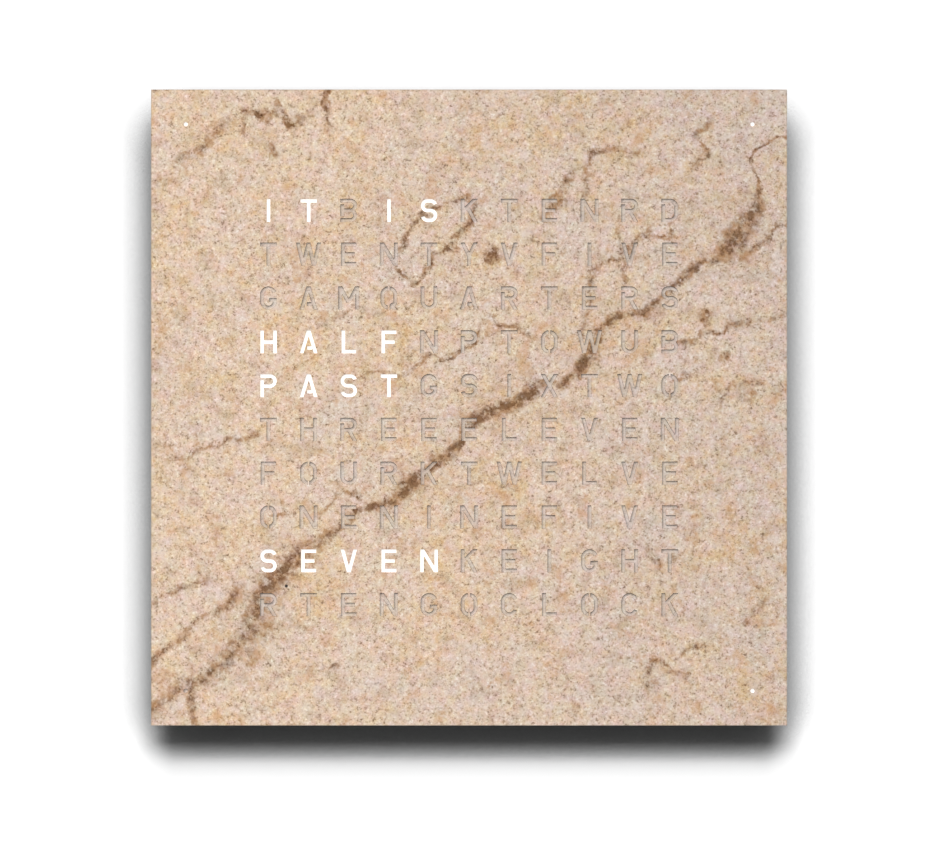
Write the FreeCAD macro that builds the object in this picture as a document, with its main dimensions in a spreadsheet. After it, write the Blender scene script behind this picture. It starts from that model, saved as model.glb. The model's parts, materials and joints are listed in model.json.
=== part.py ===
"""Wall-hung word clock, as a parametric assembly.

A square stone face with letters cut through it sits on a steel carrier that magnets hold to
a shallow casing.  A board of lamps behind each row of letters shines through a light grid.

Frame: X to the right as the clock is read, Z up, Y towards the wall.  The origin lies on the
wall, midway between the two hanging screws.  Every piece is drawn about the centre of the
face, with depths counted from the wall, and its Placement then lowers it by HOOK_RISE.
"""
import FreeCAD, Part
import math
import os
import re
import Sketcher
from FreeCAD import Placement, Rotation, Vector

MATRIX = [
    "ITBISKTENRD",
    "TWENTYVFIVE",
    "GAMQUARTERS",
    "HALFNPTOWUB",
    "PASTGSIXTWO",
    "THREEELEVEN",
    "FOURKTWELVE",
    "ONENINEFIVE",
    "SEVENKEIGHT",
    "RTENGOCLOCK",
]
ROWS = len(MATRIX)
COLUMNS = len(MATRIX[0])

# ---------------------------------------------------------------------------------------
# Driving dimensions, in millimetres
# ---------------------------------------------------------------------------------------
SIZES = {
    # face and its letters
    "face_side": 450,
    "letter_margin_across": 68.8,
    "letter_margin_down": 70,
    "letter_height": 16.4,
    "letter_width": 11.8,
    "letter_stroke": 2.7,
    "stencil_gap": 1.3,
    "insert_clearance": 0.1,
    "insert_recess": 0.5,
    "minute_dot_inset": 24.5,
    "minute_dot_radius": 1.6,
    # layers, from the wall to the front
    "hanger_thick": 2,
    "panel_thick": 2,
    "wiring_gap": 6.4,
    "board_thick": 1.6,
    "grid_depth": 8.5,
    "grid_gap": 0.5,
    "diffuser_thick": 1,
    "carrier_thick": 1.5,
    "stone_thick": 1.5,
    "diffuser_overlap": 8,
    # casing
    "casing_inset": 10,
    "wall_thick": 2.5,
    "panel_clearance": 0.3,
    "casing_rounding": 3,
    "corner_block": 34,
    "pad_length": 48,
    "pad_depth": 18,
    "magnet_radius": 6,
    "magnet_thick": 3,
    "magnet_from_wall": 25,
    "magnet_clearance": 0.1,
    "pin_radius": 2,
    "pin_length": 6,
    "pin_clearance": 0.3,
    "pin_offset": 15,
    "light_well_radius": 3,
    "dot_board_side": 17,
    # screws
    "screw_radius": 1.5,
    "screw_head_radius": 3,
    "screw_head_thick": 1.6,
    "screw_depth": 10,
    "small_screw_radius": 1,
    "small_head_radius": 1.9,
    "small_head_thick": 1.2,
    "small_screw_depth": 4,
    "screw_clearance": 0.1,
    "hole_spare": 1,
    # hanging
    "hook_from_top": 32.5,
    "hook_from_side": 62.5,
    "hook_entry_radius": 5,
    "hook_slot_radius": 2.5,
    "hook_slot_rise": 8,
    "hanger_width": 26,
    "hanger_height": 46,
    "hanger_screw_offset": 18,
    "hanger_screw_depth": 6,
    "hanger_rounding": 2,
    "head_room": 2,
    "bumper_radius": 7,
    "bumper_from_wall": 14,
    # light grid and row boards
    "cell_wall": 2,
    "rail_width": 12,
    "row_board_height": 20,
    "row_board_lip": 4.5,
    "lamp_side": 5,
    "lamp_thick": 1.6,
    "minute_lamp_side": 3.5,
    "connector_length": 14,
    "connector_height": 8,
    "connector_thick": 3.5,
    "connector_inset": 12,
    "ribbon_width": 10,
    "ribbon_thick": 0.8,
    # main board
    "main_board_height": 34,
    "main_board_gap": 3,
    "main_board_hole_inset": 4,
    "post_radius": 3,
    "chip_side": 14,
    "chip_thick": 1.6,
    "clock_chip_length": 10,
    "clock_chip_height": 7.5,
    "cell_radius": 10,
    "cell_thick": 3.2,
    "holder_wall": 1.5,
    "holder_floor": 0.8,
    "holder_clearance": 0.2,
    "coil_side": 10,
    "coil_thick": 5,
    "capacitor_radius": 3.15,
    "capacitor_tall": 7,
    # supply inlet
    "jack_offset": 60,
    "jack_flange_radius": 5.5,
    "jack_flange_thick": 1.5,
    "jack_neck_radius": 4,
    "jack_body_radius": 5,
    "jack_body_length": 10,
    "jack_bore_radius": 2.8,
    "jack_bore_depth": 12,
    "jack_pin_radius": 1,
    "jack_pin_recess": 1.5,
    "jack_clearance": 0.2,
    "jack_nut_flats": 12,
    "jack_nut_thick": 2.5,
    # push buttons
    "button_radius": 3.5,
    "button_proud": 2,
    "button_clearance": 0.3,
    "button_travel": 0.8,
    "travel_clearance": 0.1,
    "button_spacing": 18,
    "button_from_bottom": 112.5,
    "button_flange_radius": 4.6,
    "button_flange_thick": 1,
    "plunger_radius": 1.7,
    "plunger_clearance": 0.2,
    "switch_side": 6,
    "switch_thick": 3.5,
    "switch_floor": 0.5,
    "switch_gap": 3.4,
    "button_post_offset": 10,
    "button_board_spare": 15,
    "button_board_width": 13,
    # light sensor and radio antenna
    "sensor_offset": 60,
    "sensor_radius": 4,
    "sensor_length": 5,
    "window_radius": 2.5,
    "window_flange_thick": 0.8,
    "antenna_offset": 75,
    "antenna_from_top": 22.5,
    "antenna_radius": 4,
    "antenna_length": 60,
    "antenna_coil_radius": 5.5,
    "antenna_coil_length": 26,
    "antenna_clearance": 0.1,
    "clip_thick": 5,
    "clip_wall": 2,
}

doc = FreeCAD.newDocument("word_clock")
sheet = doc.addObject("Spreadsheet::Sheet", "sizes")
for row, (alias, number) in enumerate(SIZES.items(), start=1):
    sheet.set(f"A{row}", alias)
    sheet.set(f"B{row}", str(number))
    sheet.setAlias(f"B{row}", alias)
doc.recompute()

# Places that several pieces share, as expressions of the sizes above.
PITCH_ACROSS = f"((face_side - 2 * letter_margin_across) / {COLUMNS})"
PITCH_DOWN = f"((face_side - 2 * letter_margin_down) / {ROWS})"
# depths from the wall
PANEL_BACK = "hanger_thick"
PANEL_FRONT = "(hanger_thick + panel_thick)"
BOARD_BACK = f"({PANEL_FRONT} + wiring_gap)"
BOARD_FRONT = f"({BOARD_BACK} + board_thick)"
GRID_FRONT = f"({BOARD_FRONT} + grid_depth)"
DIFFUSER_BACK = f"({GRID_FRONT} + grid_gap)"
COVER_BACK = f"({DIFFUSER_BACK} + diffuser_thick)"
CARRIER_FRONT = f"({COVER_BACK} + carrier_thick)"
FACE_FRONT = f"({CARRIER_FRONT} + stone_thick)"
CASING_MIDDLE = f"(({COVER_BACK} + {PANEL_FRONT}) / 2)"
# distances from the face's centre
CASING_OUTER = "(face_side / 2 - casing_inset)"
CASING_INNER = f"({CASING_OUTER} - wall_thick)"
DOT_PLACE = "(face_side / 2 - minute_dot_inset)"
CORNER_PLACE = f"({CASING_INNER} - magnet_from_wall)"
PAD_PLACE = f"({CASING_INNER} - pad_depth / 2)"
RAIL_MIDDLE = f"({COLUMNS} * {PITCH_ACROSS} / 2 + rail_width / 2)"
GRID_HALF_WIDTH = f"({COLUMNS} * {PITCH_ACROSS} / 2 + rail_width)"
GRID_HALF_HEIGHT = f"({ROWS} * {PITCH_DOWN} / 2 + cell_wall)"
CONNECTOR_PLACE = f"({COLUMNS} * {PITCH_ACROSS} / 2 - connector_inset)"
MAIN_BOARD_LEFT = f"(-{CASING_INNER} + corner_block + main_board_gap)"
MAIN_BOARD_LONG = f"({CASING_INNER} - corner_block - pad_length / 2 - 2 * main_board_gap)"
MAIN_BOARD_X = f"({MAIN_BOARD_LEFT} + {MAIN_BOARD_LONG} / 2)"
MAIN_BOARD_Z = f"(-{CASING_INNER} + main_board_gap + main_board_height / 2)"
HOOK_RISE = f"({CASING_INNER} - hook_from_top)"
HOOK_X = f"({CASING_INNER} - hook_from_side)"
HANGER_Z = f"({HOOK_RISE} + hook_slot_rise / 2)"
ANTENNA_Z = f"({CASING_INNER} - antenna_from_top)"
BUTTONS_Z = f"(-{CASING_INNER} + button_from_bottom)"
FLANGE_IN = f"({CASING_INNER} - button_flange_thick)"
SWITCH_FACE = f"({FLANGE_IN} - switch_gap)"
SWITCH_BACK = f"({SWITCH_FACE} - switch_thick)"
PLUNGER_LONG = ("(switch_gap + switch_thick - switch_floor - button_travel"
                " - travel_clearance)")
SCREW_HOLE = "(screw_radius + screw_clearance)"
SMALL_HOLE = "(small_screw_radius + screw_clearance)"

CORNERS = [(-1, -1), (1, -1), (1, 1), (-1, 1)]
SIDES = [(0, -1), (1, 0), (0, 1), (-1, 0)]
nodes = []
small_screws = []


def bound(text):
    """Turns each size's name in an expression into a reference to its cell."""
    def refer(match):
        word = match.group()
        return f"sizes.{word}" if word in SIZES else word
    return re.sub(r"[a-z][a-z_]+", refer, str(text))


def bind(piece, prop, text):
    piece.setExpression(prop, bound(text))


def number_of(text):
    """The value of an expression of sizes, worked out by a cell of its own."""
    probe = doc.addObject("App::FeaturePython", "probe")
    probe.addProperty("App::PropertyFloat", "Value")
    bind(probe, "Value", text)
    probe.recompute()
    number = probe.Value
    doc.removeObject(probe.Name)
    return number


def node(label, piece):
    """Names a finished sub-part and lowers it from the face's frame to the hanging frame."""
    piece.Label = label
    bind(piece, "Placement.Base.z", f"-{HOOK_RISE}")
    nodes.append(piece)
    return piece


# ---------------------------------------------------------------------------------------
# Primitives: a block or rod is placed by its middle in X and Z, and by two depths
# ---------------------------------------------------------------------------------------
def block(x, z, wide, tall, back, front):
    piece = doc.addObject("Part::Box", "block")
    bind(piece, "Length", wide)
    bind(piece, "Width", f"({front}) - ({back})")
    bind(piece, "Height", tall)
    bind(piece, "Placement.Base.x", f"({x}) - ({wide}) / 2")
    bind(piece, "Placement.Base.y", f"-({front})")
    bind(piece, "Placement.Base.z", f"({z}) - ({tall}) / 2")
    return piece


def rod(x, z, radius, back, front):
    """A cylinder square to the wall, from one depth to another."""
    piece = doc.addObject("Part::Cylinder", "rod")
    piece.Placement = Placement(Vector(), Rotation(Vector(1, 0, 0), 90))
    bind(piece, "Radius", radius)
    bind(piece, "Height", f"({front}) - ({back})")
    bind(piece, "Placement.Base.x", x)
    bind(piece, "Placement.Base.y", f"-({back})")
    bind(piece, "Placement.Base.z", z)
    return piece


def upright_rod(x, depth, radius, low, high):
    """A cylinder along Z."""
    piece = doc.addObject("Part::Cylinder", "upright_rod")
    bind(piece, "Radius", radius)
    bind(piece, "Height", f"({high}) - ({low})")
    bind(piece, "Placement.Base.x", x)
    bind(piece, "Placement.Base.y", f"-({depth})")
    bind(piece, "Placement.Base.z", low)
    return piece


def level_rod(depth, z, radius, left, right):
    """A cylinder along X."""
    piece = doc.addObject("Part::Cylinder", "level_rod")
    piece.Placement = Placement(Vector(), Rotation(Vector(0, 1, 0), 90))
    bind(piece, "Radius", radius)
    bind(piece, "Height", f"({right}) - ({left})")
    bind(piece, "Placement.Base.x", left)
    bind(piece, "Placement.Base.y", f"-({depth})")
    bind(piece, "Placement.Base.z", z)
    return piece


def group(pieces):
    piece = doc.addObject("Part::Compound", "group")
    piece.Links = pieces
    return piece


def fuse(pieces):
    piece = doc.addObject("Part::MultiFuse", "fuse")
    piece.Shapes = pieces
    return piece


def cut(base, tools):
    piece = doc.addObject("Part::Cut", "cut")
    piece.Base = base
    piece.Tool = tools[0] if len(tools) == 1 else fuse(tools)
    return piece


def screw(x, z, radius, head_radius, head_thick, seat, tip):
    """A screw put in from the back: its head rests on the seat, its shank ends at the tip."""
    head = rod(x, z, head_radius, f"({seat}) - ({head_thick})", seat)
    shank = rod(x, z, radius, f"({seat}) - ({head_thick}) / 2", tip)
    return fuse([head, shank])


# ---------------------------------------------------------------------------------------
# Bodies: sketches lie parallel to the wall, at a depth from it, and pads grow to the front
# ---------------------------------------------------------------------------------------
def new_body(label):
    return node(label, doc.addObject("PartDesign::Body", label))


def sketch(body, depth):
    drawing = body.newObject("Sketcher::SketchObject", "sketch")
    plane = next(o for o in body.Origin.OriginFeatures if o.Role == "XZ_Plane")
    drawing.AttachmentSupport = [(plane, "")]
    drawing.MapMode = "FlatFace"
    bind(drawing, "AttachmentOffset.Base.z", depth)
    return drawing


def fix(drawing, constraint, text):
    number = drawing.addConstraint(constraint)
    drawing.setExpression(f"Constraints[{number}]", bound(text))


def rectangle(drawing, x, z, wide, tall):
    first = drawing.GeometryCount
    corners = [Vector(a, b, 0) for a, b in CORNERS]
    for side in range(4):
        drawing.addGeometry(Part.LineSegment(corners[side], corners[(side + 1) % 4]), False)
    for side in range(4):
        following = first + (side + 1) % 4
        drawing.addConstraint(Sketcher.Constraint("Coincident", first + side, 2, following, 1))
        direction = "Vertical" if side % 2 else "Horizontal"
        drawing.addConstraint(Sketcher.Constraint(direction, first + side))
    fix(drawing, Sketcher.Constraint("DistanceX", first, 1, first, 2, 2.0), wide)
    fix(drawing, Sketcher.Constraint("DistanceY", first + 1, 1, first + 1, 2, 2.0), tall)
    fix(drawing, Sketcher.Constraint("DistanceX", first, 1, -1.0), f"({x}) - ({wide}) / 2")
    fix(drawing, Sketcher.Constraint("DistanceY", first, 1, -1.0), f"({z}) - ({tall}) / 2")


def circle(drawing, x, z, radius):
    number = drawing.addGeometry(Part.Circle(Vector(1, 1, 0), Vector(0, 0, 1), 1), False)
    fix(drawing, Sketcher.Constraint("Radius", number, 1.0), radius)
    fix(drawing, Sketcher.Constraint("DistanceX", number, 3, 1.0), x)
    fix(drawing, Sketcher.Constraint("DistanceY", number, 3, 1.0), z)


def pad(body, drawing, length):
    feature = body.newObject("PartDesign::Pad", "pad")
    feature.Profile = drawing
    bind(feature, "Length", length)
    return feature


def round_corners(body, blank, beyond, radius):
    """Rounds a blank's edges that run away from the wall, beyond a distance from its middle."""
    doc.recompute()
    limit = number_of(beyond)
    centre = blank.Shape.BoundBox.Center
    names = []
    for index, edge in enumerate(blank.Shape.Edges, start=1):
        ends = edge.Vertexes[0].Point - edge.Vertexes[-1].Point
        middle = edge.BoundBox.Center - centre
        runs_away = abs(ends.y) > max(abs(ends.x), abs(ends.z))
        if runs_away and min(abs(middle.x), abs(middle.z)) > limit:
            names.append(f"Edge{index}")
    rounding = body.newObject("PartDesign::Fillet", "rounding")
    rounding.Base = (blank, names)
    bind(rounding, "Radius", radius)


def pocket(body, drawing, length=None, to_front=False):
    """Cuts from the sketch towards the wall, or to_front; right through with no length."""
    feature = body.newObject("PartDesign::Pocket", "pocket")
    feature.Profile = drawing
    feature.Reversed = to_front
    if length is None:
        feature.Type = "ThroughAll"
        feature.Midplane = True
    else:
        bind(feature, "Length", length)
    return feature


# ---------------------------------------------------------------------------------------
# Letters: stencil capitals, drawn as strokes in the XZ plane with the lower left at (0, 0)
# ---------------------------------------------------------------------------------------
HIGH = sheet.get("letter_height")
WIDE = sheet.get("letter_width")
STROKE = sheet.get("letter_stroke")
GAP = sheet.get("stencil_gap")
HALF = STROKE / 2
THICKNESS_AXIS = Vector(0, -1, 0)


def point(x, z):
    return Vector(x, 0, z)


def polygon(points):
    corners = [point(x, z) for x, z in points]
    return Part.Face(Part.makePolygon(corners + corners[:1]))


def box(left, low, right, high):
    return polygon([(left, low), (right, low), (right, high), (left, high)])


def bar(x0, z0, x1, z1):
    """A straight stroke about the line between two points."""
    long = math.hypot(x1 - x0, z1 - z0)
    across_x = -(z1 - z0) / long * HALF
    across_z = (x1 - x0) / long * HALF
    return polygon([(x0 - across_x, z0 - across_z), (x1 - across_x, z1 - across_z),
                    (x1 + across_x, z1 + across_z), (x0 + across_x, z0 + across_z)])


def bow(x, z, radius, start, end):
    """A curved stroke about an arc; angles in degrees, anticlockwise as the face is read."""
    def place(distance, angle):
        turn = math.radians(angle)
        return point(x + distance * math.cos(turn), z + distance * math.sin(turn))
    outer, inner, middle = radius + HALF, radius - HALF, (start + end) / 2
    edges = [
        Part.Arc(place(outer, start), place(outer, middle), place(outer, end)).toShape(),
        Part.makeLine(place(outer, end), place(inner, end)),
        Part.Arc(place(inner, end), place(inner, middle), place(inner, start)).toShape(),
        Part.makeLine(place(inner, start), place(outer, start)),
    ]
    return Part.Face(Part.Wire(edges))


def left_stem():
    return bar(HALF, 0, HALF, HIGH)


def right_stem(wide):
    return bar(wide - HALF, 0, wide - HALF, HIGH)


def rung(z, left, right):
    return bar(left, z, right, z)


def slants(*corners):
    """Strokes through a chain of corners, long enough to be trimmed flat by the letter's box."""
    strokes = []
    for (x0, z0), (x1, z1) in zip(corners, corners[1:]):
        over = STROKE / abs(z1 - z0)
        dx, dz = (x1 - x0) * over, (z1 - z0) * over
        start = over if z0 in (0, HIGH) else 0
        finish = over if z1 in (0, HIGH) else 0
        strokes.append(bar(x0 - dx * (start > 0), z0 - dz * (start > 0),
                           x1 + dx * (finish > 0), z1 + dz * (finish > 0)))
    return strokes


def round_bowl(low, high, stem_end, wide):
    """The bowl of a B, D, P or R: two level strokes and the round that joins them."""
    radius = (high - low - STROKE) / 2
    turn_x = wide - HALF - radius
    return [rung(high - HALF, stem_end, turn_x), rung(low + HALF, stem_end, turn_x),
            bow(turn_x, low + HALF + radius, radius, -90, 90)]


def letter_strokes(name):
    """Returns the width of a capital, its strokes and the gaps cut back out of them."""
    wide = WIDE
    radius = (wide - STROKE) / 2
    top_turn, low_turn = HIGH - HALF - radius, HALF + radius
    middle = HIGH / 2
    stem_top = box(HALF - STROKE, HIGH - STROKE - GAP, STROKE + HALF, HIGH - STROKE)
    if name == "I":
        return STROKE, [left_stem()], []
    if name == "T":
        return wide, [rung(HIGH - HALF, 0, wide), bar(wide / 2, 0, wide / 2, HIGH)], []
    if name == "L":
        return wide * 0.88, [left_stem(), rung(HALF, 0, wide)], []
    if name in "EF":
        strokes = [left_stem(), rung(HIGH - HALF, 0, wide), rung(middle, 0, wide * 0.82)]
        return wide * 0.92, strokes + ([rung(HALF, 0, wide)] if name == "E" else []), []
    if name == "H":
        return wide, [left_stem(), right_stem(wide), rung(middle, 0, wide)], []
    if name == "N":
        wide = WIDE * 1.08
        return wide, [left_stem(), right_stem(wide),
                      *slants((HALF, HIGH), (wide - HALF, 0))], []
    if name == "M":
        wide = WIDE * 1.25
        waist = HIGH * 0.3
        below = waist - (HIGH - waist)
        under = box(STROKE, 0, wide - STROKE, waist)
        return wide, [left_stem(), right_stem(wide), bar(HALF, HIGH, wide - HALF, below),
                      bar(wide - HALF, HIGH, HALF, below)], [under]
    if name == "V":
        return wide, slants((HALF, HIGH), (wide / 2, 0), (wide - HALF, HIGH)), []
    if name == "W":
        wide = WIDE * 1.5
        quarter = (wide - STROKE) / 4
        corners = [(HALF + quarter * i, 0 if i % 2 else HIGH) for i in range(5)]
        return wide, slants(*corners), []
    if name == "X":
        return wide, slants((HALF, 0), (wide - HALF, HIGH)) + slants((HALF, HIGH),
                                                                      (wide - HALF, 0)), []
    if name == "Y":
        fork = HIGH * 0.42
        arms = slants((HALF, HIGH), (wide / 2, fork), (wide - HALF, HIGH))
        return wide, arms + [bar(wide / 2, 0, wide / 2, fork + HALF)], []
    if name == "K":
        knee = HIGH * 0.45
        return wide, [left_stem(), *slants((HALF, knee), (wide - HALF, HIGH)),
                      *slants((wide * 0.42, knee + STROKE), (wide - HALF, 0))], []
    if name == "A":
        wide = WIDE * 1.08
        rise = HIGH * 0.24
        lean = (wide / 2 - HALF) / HIGH
        inside = HALF + lean * rise + HALF
        legs = slants((HALF, 0), (wide / 2, HIGH), (wide - HALF, 0))
        crossbar = rung(rise, inside + GAP, wide - inside)
        return wide, legs + [crossbar], []
    if name in "OQ":
        strokes = [bow(wide / 2, top_turn, radius, 0, 180),
                   bow(wide / 2, low_turn, radius, 180, 360),
                   bar(HALF, low_turn, HALF, top_turn),
                   bar(wide - HALF, low_turn, wide - HALF, top_turn)]
        gaps = [box((wide - GAP) / 2, 0, (wide + GAP) / 2, HIGH)]
        if name == "Q":
            strokes += slants((wide * 0.62, HIGH * 0.26), (wide - STROKE * 0.6, 0))
        return wide, strokes, gaps
    if name == "U":
        return wide, [bow(wide / 2, low_turn, radius, 180, 360), bar(HALF, low_turn, HALF, HIGH),
                      bar(wide - HALF, low_turn, wide - HALF, HIGH)], []
    if name in "CG":
        open_end = 340 if name == "C" else 360
        strokes = [bow(wide / 2, top_turn, radius, 20, 180),
                   bow(wide / 2, low_turn, radius, 180, open_end),
                   bar(HALF, low_turn, HALF, top_turn)]
        if name == "G":
            shelf = middle - HALF
            strokes += [rung(shelf, wide * 0.55, wide),
                        bar(wide - HALF, low_turn, wide - HALF, shelf)]
        return wide, strokes, []
    if name == "S":
        lobe = (HIGH - STROKE) / 4
        side = wide / 2 - HALF - lobe
        strokes = [bow(HALF + lobe, HIGH - HALF - lobe, lobe, 90, 270),
                   bow(wide - HALF - lobe, HIGH - HALF - lobe, lobe, 15, 90),
                   bow(wide - HALF - lobe, HALF + lobe, lobe, -90, 90),
                   bow(HALF + lobe, HALF + lobe, lobe, 195, 270)]
        for level in (HALF, middle, HIGH - HALF):
            strokes.append(rung(level, wide / 2 - side, wide / 2 + side))
        return wide, strokes, []
    if name == "D":
        return wide, [left_stem(), rung(HIGH - HALF, HALF, wide - HALF - radius),
                      rung(HALF, HALF, wide - HALF - radius),
                      bow(wide - HALF - radius, top_turn, radius, 0, 90),
                      bow(wide - HALF - radius, low_turn, radius, -90, 0),
                      bar(wide - HALF, low_turn, wide - HALF, top_turn)], [stem_top]
    if name in "PR":
        low = HIGH * 0.4
        strokes = [left_stem(), *round_bowl(low, HIGH, HALF, wide)]
        if name == "R":
            strokes += slants((wide * 0.5, low + HALF), (wide - HALF, 0))
        return wide, strokes, [stem_top]
    if name == "B":
        waist = middle + HALF
        strokes = [left_stem(), *round_bowl(waist - STROKE, HIGH, HALF, wide),
                   *round_bowl(0, waist, HALF, wide)]
        low_gap = box(HALF - STROKE, STROKE, STROKE + HALF, STROKE + GAP)
        return wide, strokes, [stem_top, low_gap]
    raise ValueError(f"no drawing for the letter {name}")


def letter_faces(name):
    """The flat regions of one capital, centred on the middle of its place in the matrix."""
    wide, strokes, gaps = letter_strokes(name)
    outline = strokes[0].fuse(strokes[1:]) if len(strokes) > 1 else strokes[0]
    outline = outline.common(box(0, 0, wide, HIGH))
    if gaps:
        outline = outline.cut(gaps)
    outline = outline.removeSplitter()
    outline.translate(point(-wide / 2, -HIGH / 2))
    return outline.Faces


def letter_places():
    """The name of every letter of the matrix with the place of its middle."""
    across = (sheet.get("face_side") - 2 * sheet.get("letter_margin_across")) / COLUMNS
    down = (sheet.get("face_side") - 2 * sheet.get("letter_margin_down")) / ROWS
    for line, letters in enumerate(MATRIX):
        for column, name in enumerate(letters):
            x = (column - (COLUMNS - 1) / 2) * across
            z = ((ROWS - 1) / 2 - line) * down
            yield name, point(x, z)


CUTS = {name: letter_faces(name) for name in sorted(set("".join(MATRIX)))}
CLEARANCE = sheet.get("insert_clearance")


def feature(label, shape):
    piece = doc.addObject("Part::Feature", label)
    piece.Shape = shape
    return node(label, piece)


def perforated_outline():
    """A square face with every letter and the four minute holes cut through it."""
    half = sheet.get("face_side") / 2
    reach = half - sheet.get("minute_dot_inset")
    wires = [box(-half, -half, half, half).OuterWire]
    for x, z in CORNERS:
        hole = Part.makeCircle(sheet.get("minute_dot_radius"), point(x * reach, z * reach),
                               Vector(0, 1, 0))
        wires.append(Part.Wire(hole))
    for name, place in letter_places():
        wires += [region.OuterWire.translated(place) for region in CUTS[name]]
    return Part.makeFace(wires, "Part::FaceMakerBullseye")


def plate(label, outline, back, front):
    start = outline.translated(THICKNESS_AXIS * number_of(back))
    thickness = number_of(f"({front}) - ({back})")
    return feature(label, start.extrude(THICKNESS_AXIS * thickness))


def cover():
    """The front that pulls off: stone, steel, opal letters, opal sheet and locating pins."""
    outline = perforated_outline()
    plate("stone_face", outline, CARRIER_FRONT, FACE_FRONT)
    plate("carrier_plate", outline, COVER_BACK, CARRIER_FRONT)

    back = number_of(COVER_BACK)
    thickness = number_of(f"{FACE_FRONT} - insert_recess - {COVER_BACK}")
    shrunk = {name: [face.makeOffset2D(-CLEARANCE) for face in faces]
              for name, faces in CUTS.items()}
    letters = []
    for name, place in letter_places():
        for region in shrunk[name]:
            start = region.translated(place + Vector(0, -back, 0))
            letters += start.extrude(THICKNESS_AXIS * thickness).Solids
    feature("letter_inserts", Part.makeCompound(letters))

    lens_front = f"({FACE_FRONT} - insert_recess)"
    node("minute_lenses", group([
        rod(f"{x} * {DOT_PLACE}", f"{z} * {DOT_PLACE}", "minute_dot_radius - insert_clearance",
            COVER_BACK, lens_front) for x, z in CORNERS]))

    opal = new_body("diffuser_sheet")
    outline = sketch(opal, DIFFUSER_BACK)
    rectangle(outline, 0, 0, f"{COLUMNS} * {PITCH_ACROSS} + 2 * diffuser_overlap",
              f"{ROWS} * {PITCH_DOWN} + 2 * diffuser_overlap")
    pad(opal, outline, "diffuser_thick")

    node("locating_pins", group([
        rod(f"{side} * ({PAD_PLACE})", "pin_offset", "pin_radius",
            f"{COVER_BACK} - pin_length", COVER_BACK) for side in (-1, 1)]))


# ---------------------------------------------------------------------------------------
# Casing
# ---------------------------------------------------------------------------------------
def magnet_places():
    """The middles of the eight magnets: one per corner block and one per side pad."""
    for x, z in CORNERS:
        yield f"{x} * {CORNER_PLACE}", f"{z} * {CORNER_PLACE}"
    for x, z in SIDES:
        yield f"{x} * {PAD_PLACE}", f"{z} * {PAD_PLACE}"


def button_places():
    for number in range(4):
        yield number + 1, f"({BUTTONS_Z} + {1.5 - number} * button_spacing)"


def button_post_places():
    """The two posts that carry the button board, beyond the first and last button."""
    reach = "(1.5 * button_spacing + button_post_offset)"
    for end in (-1, 1):
        yield f"({BUTTONS_Z} + {end} * {reach})"


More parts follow.
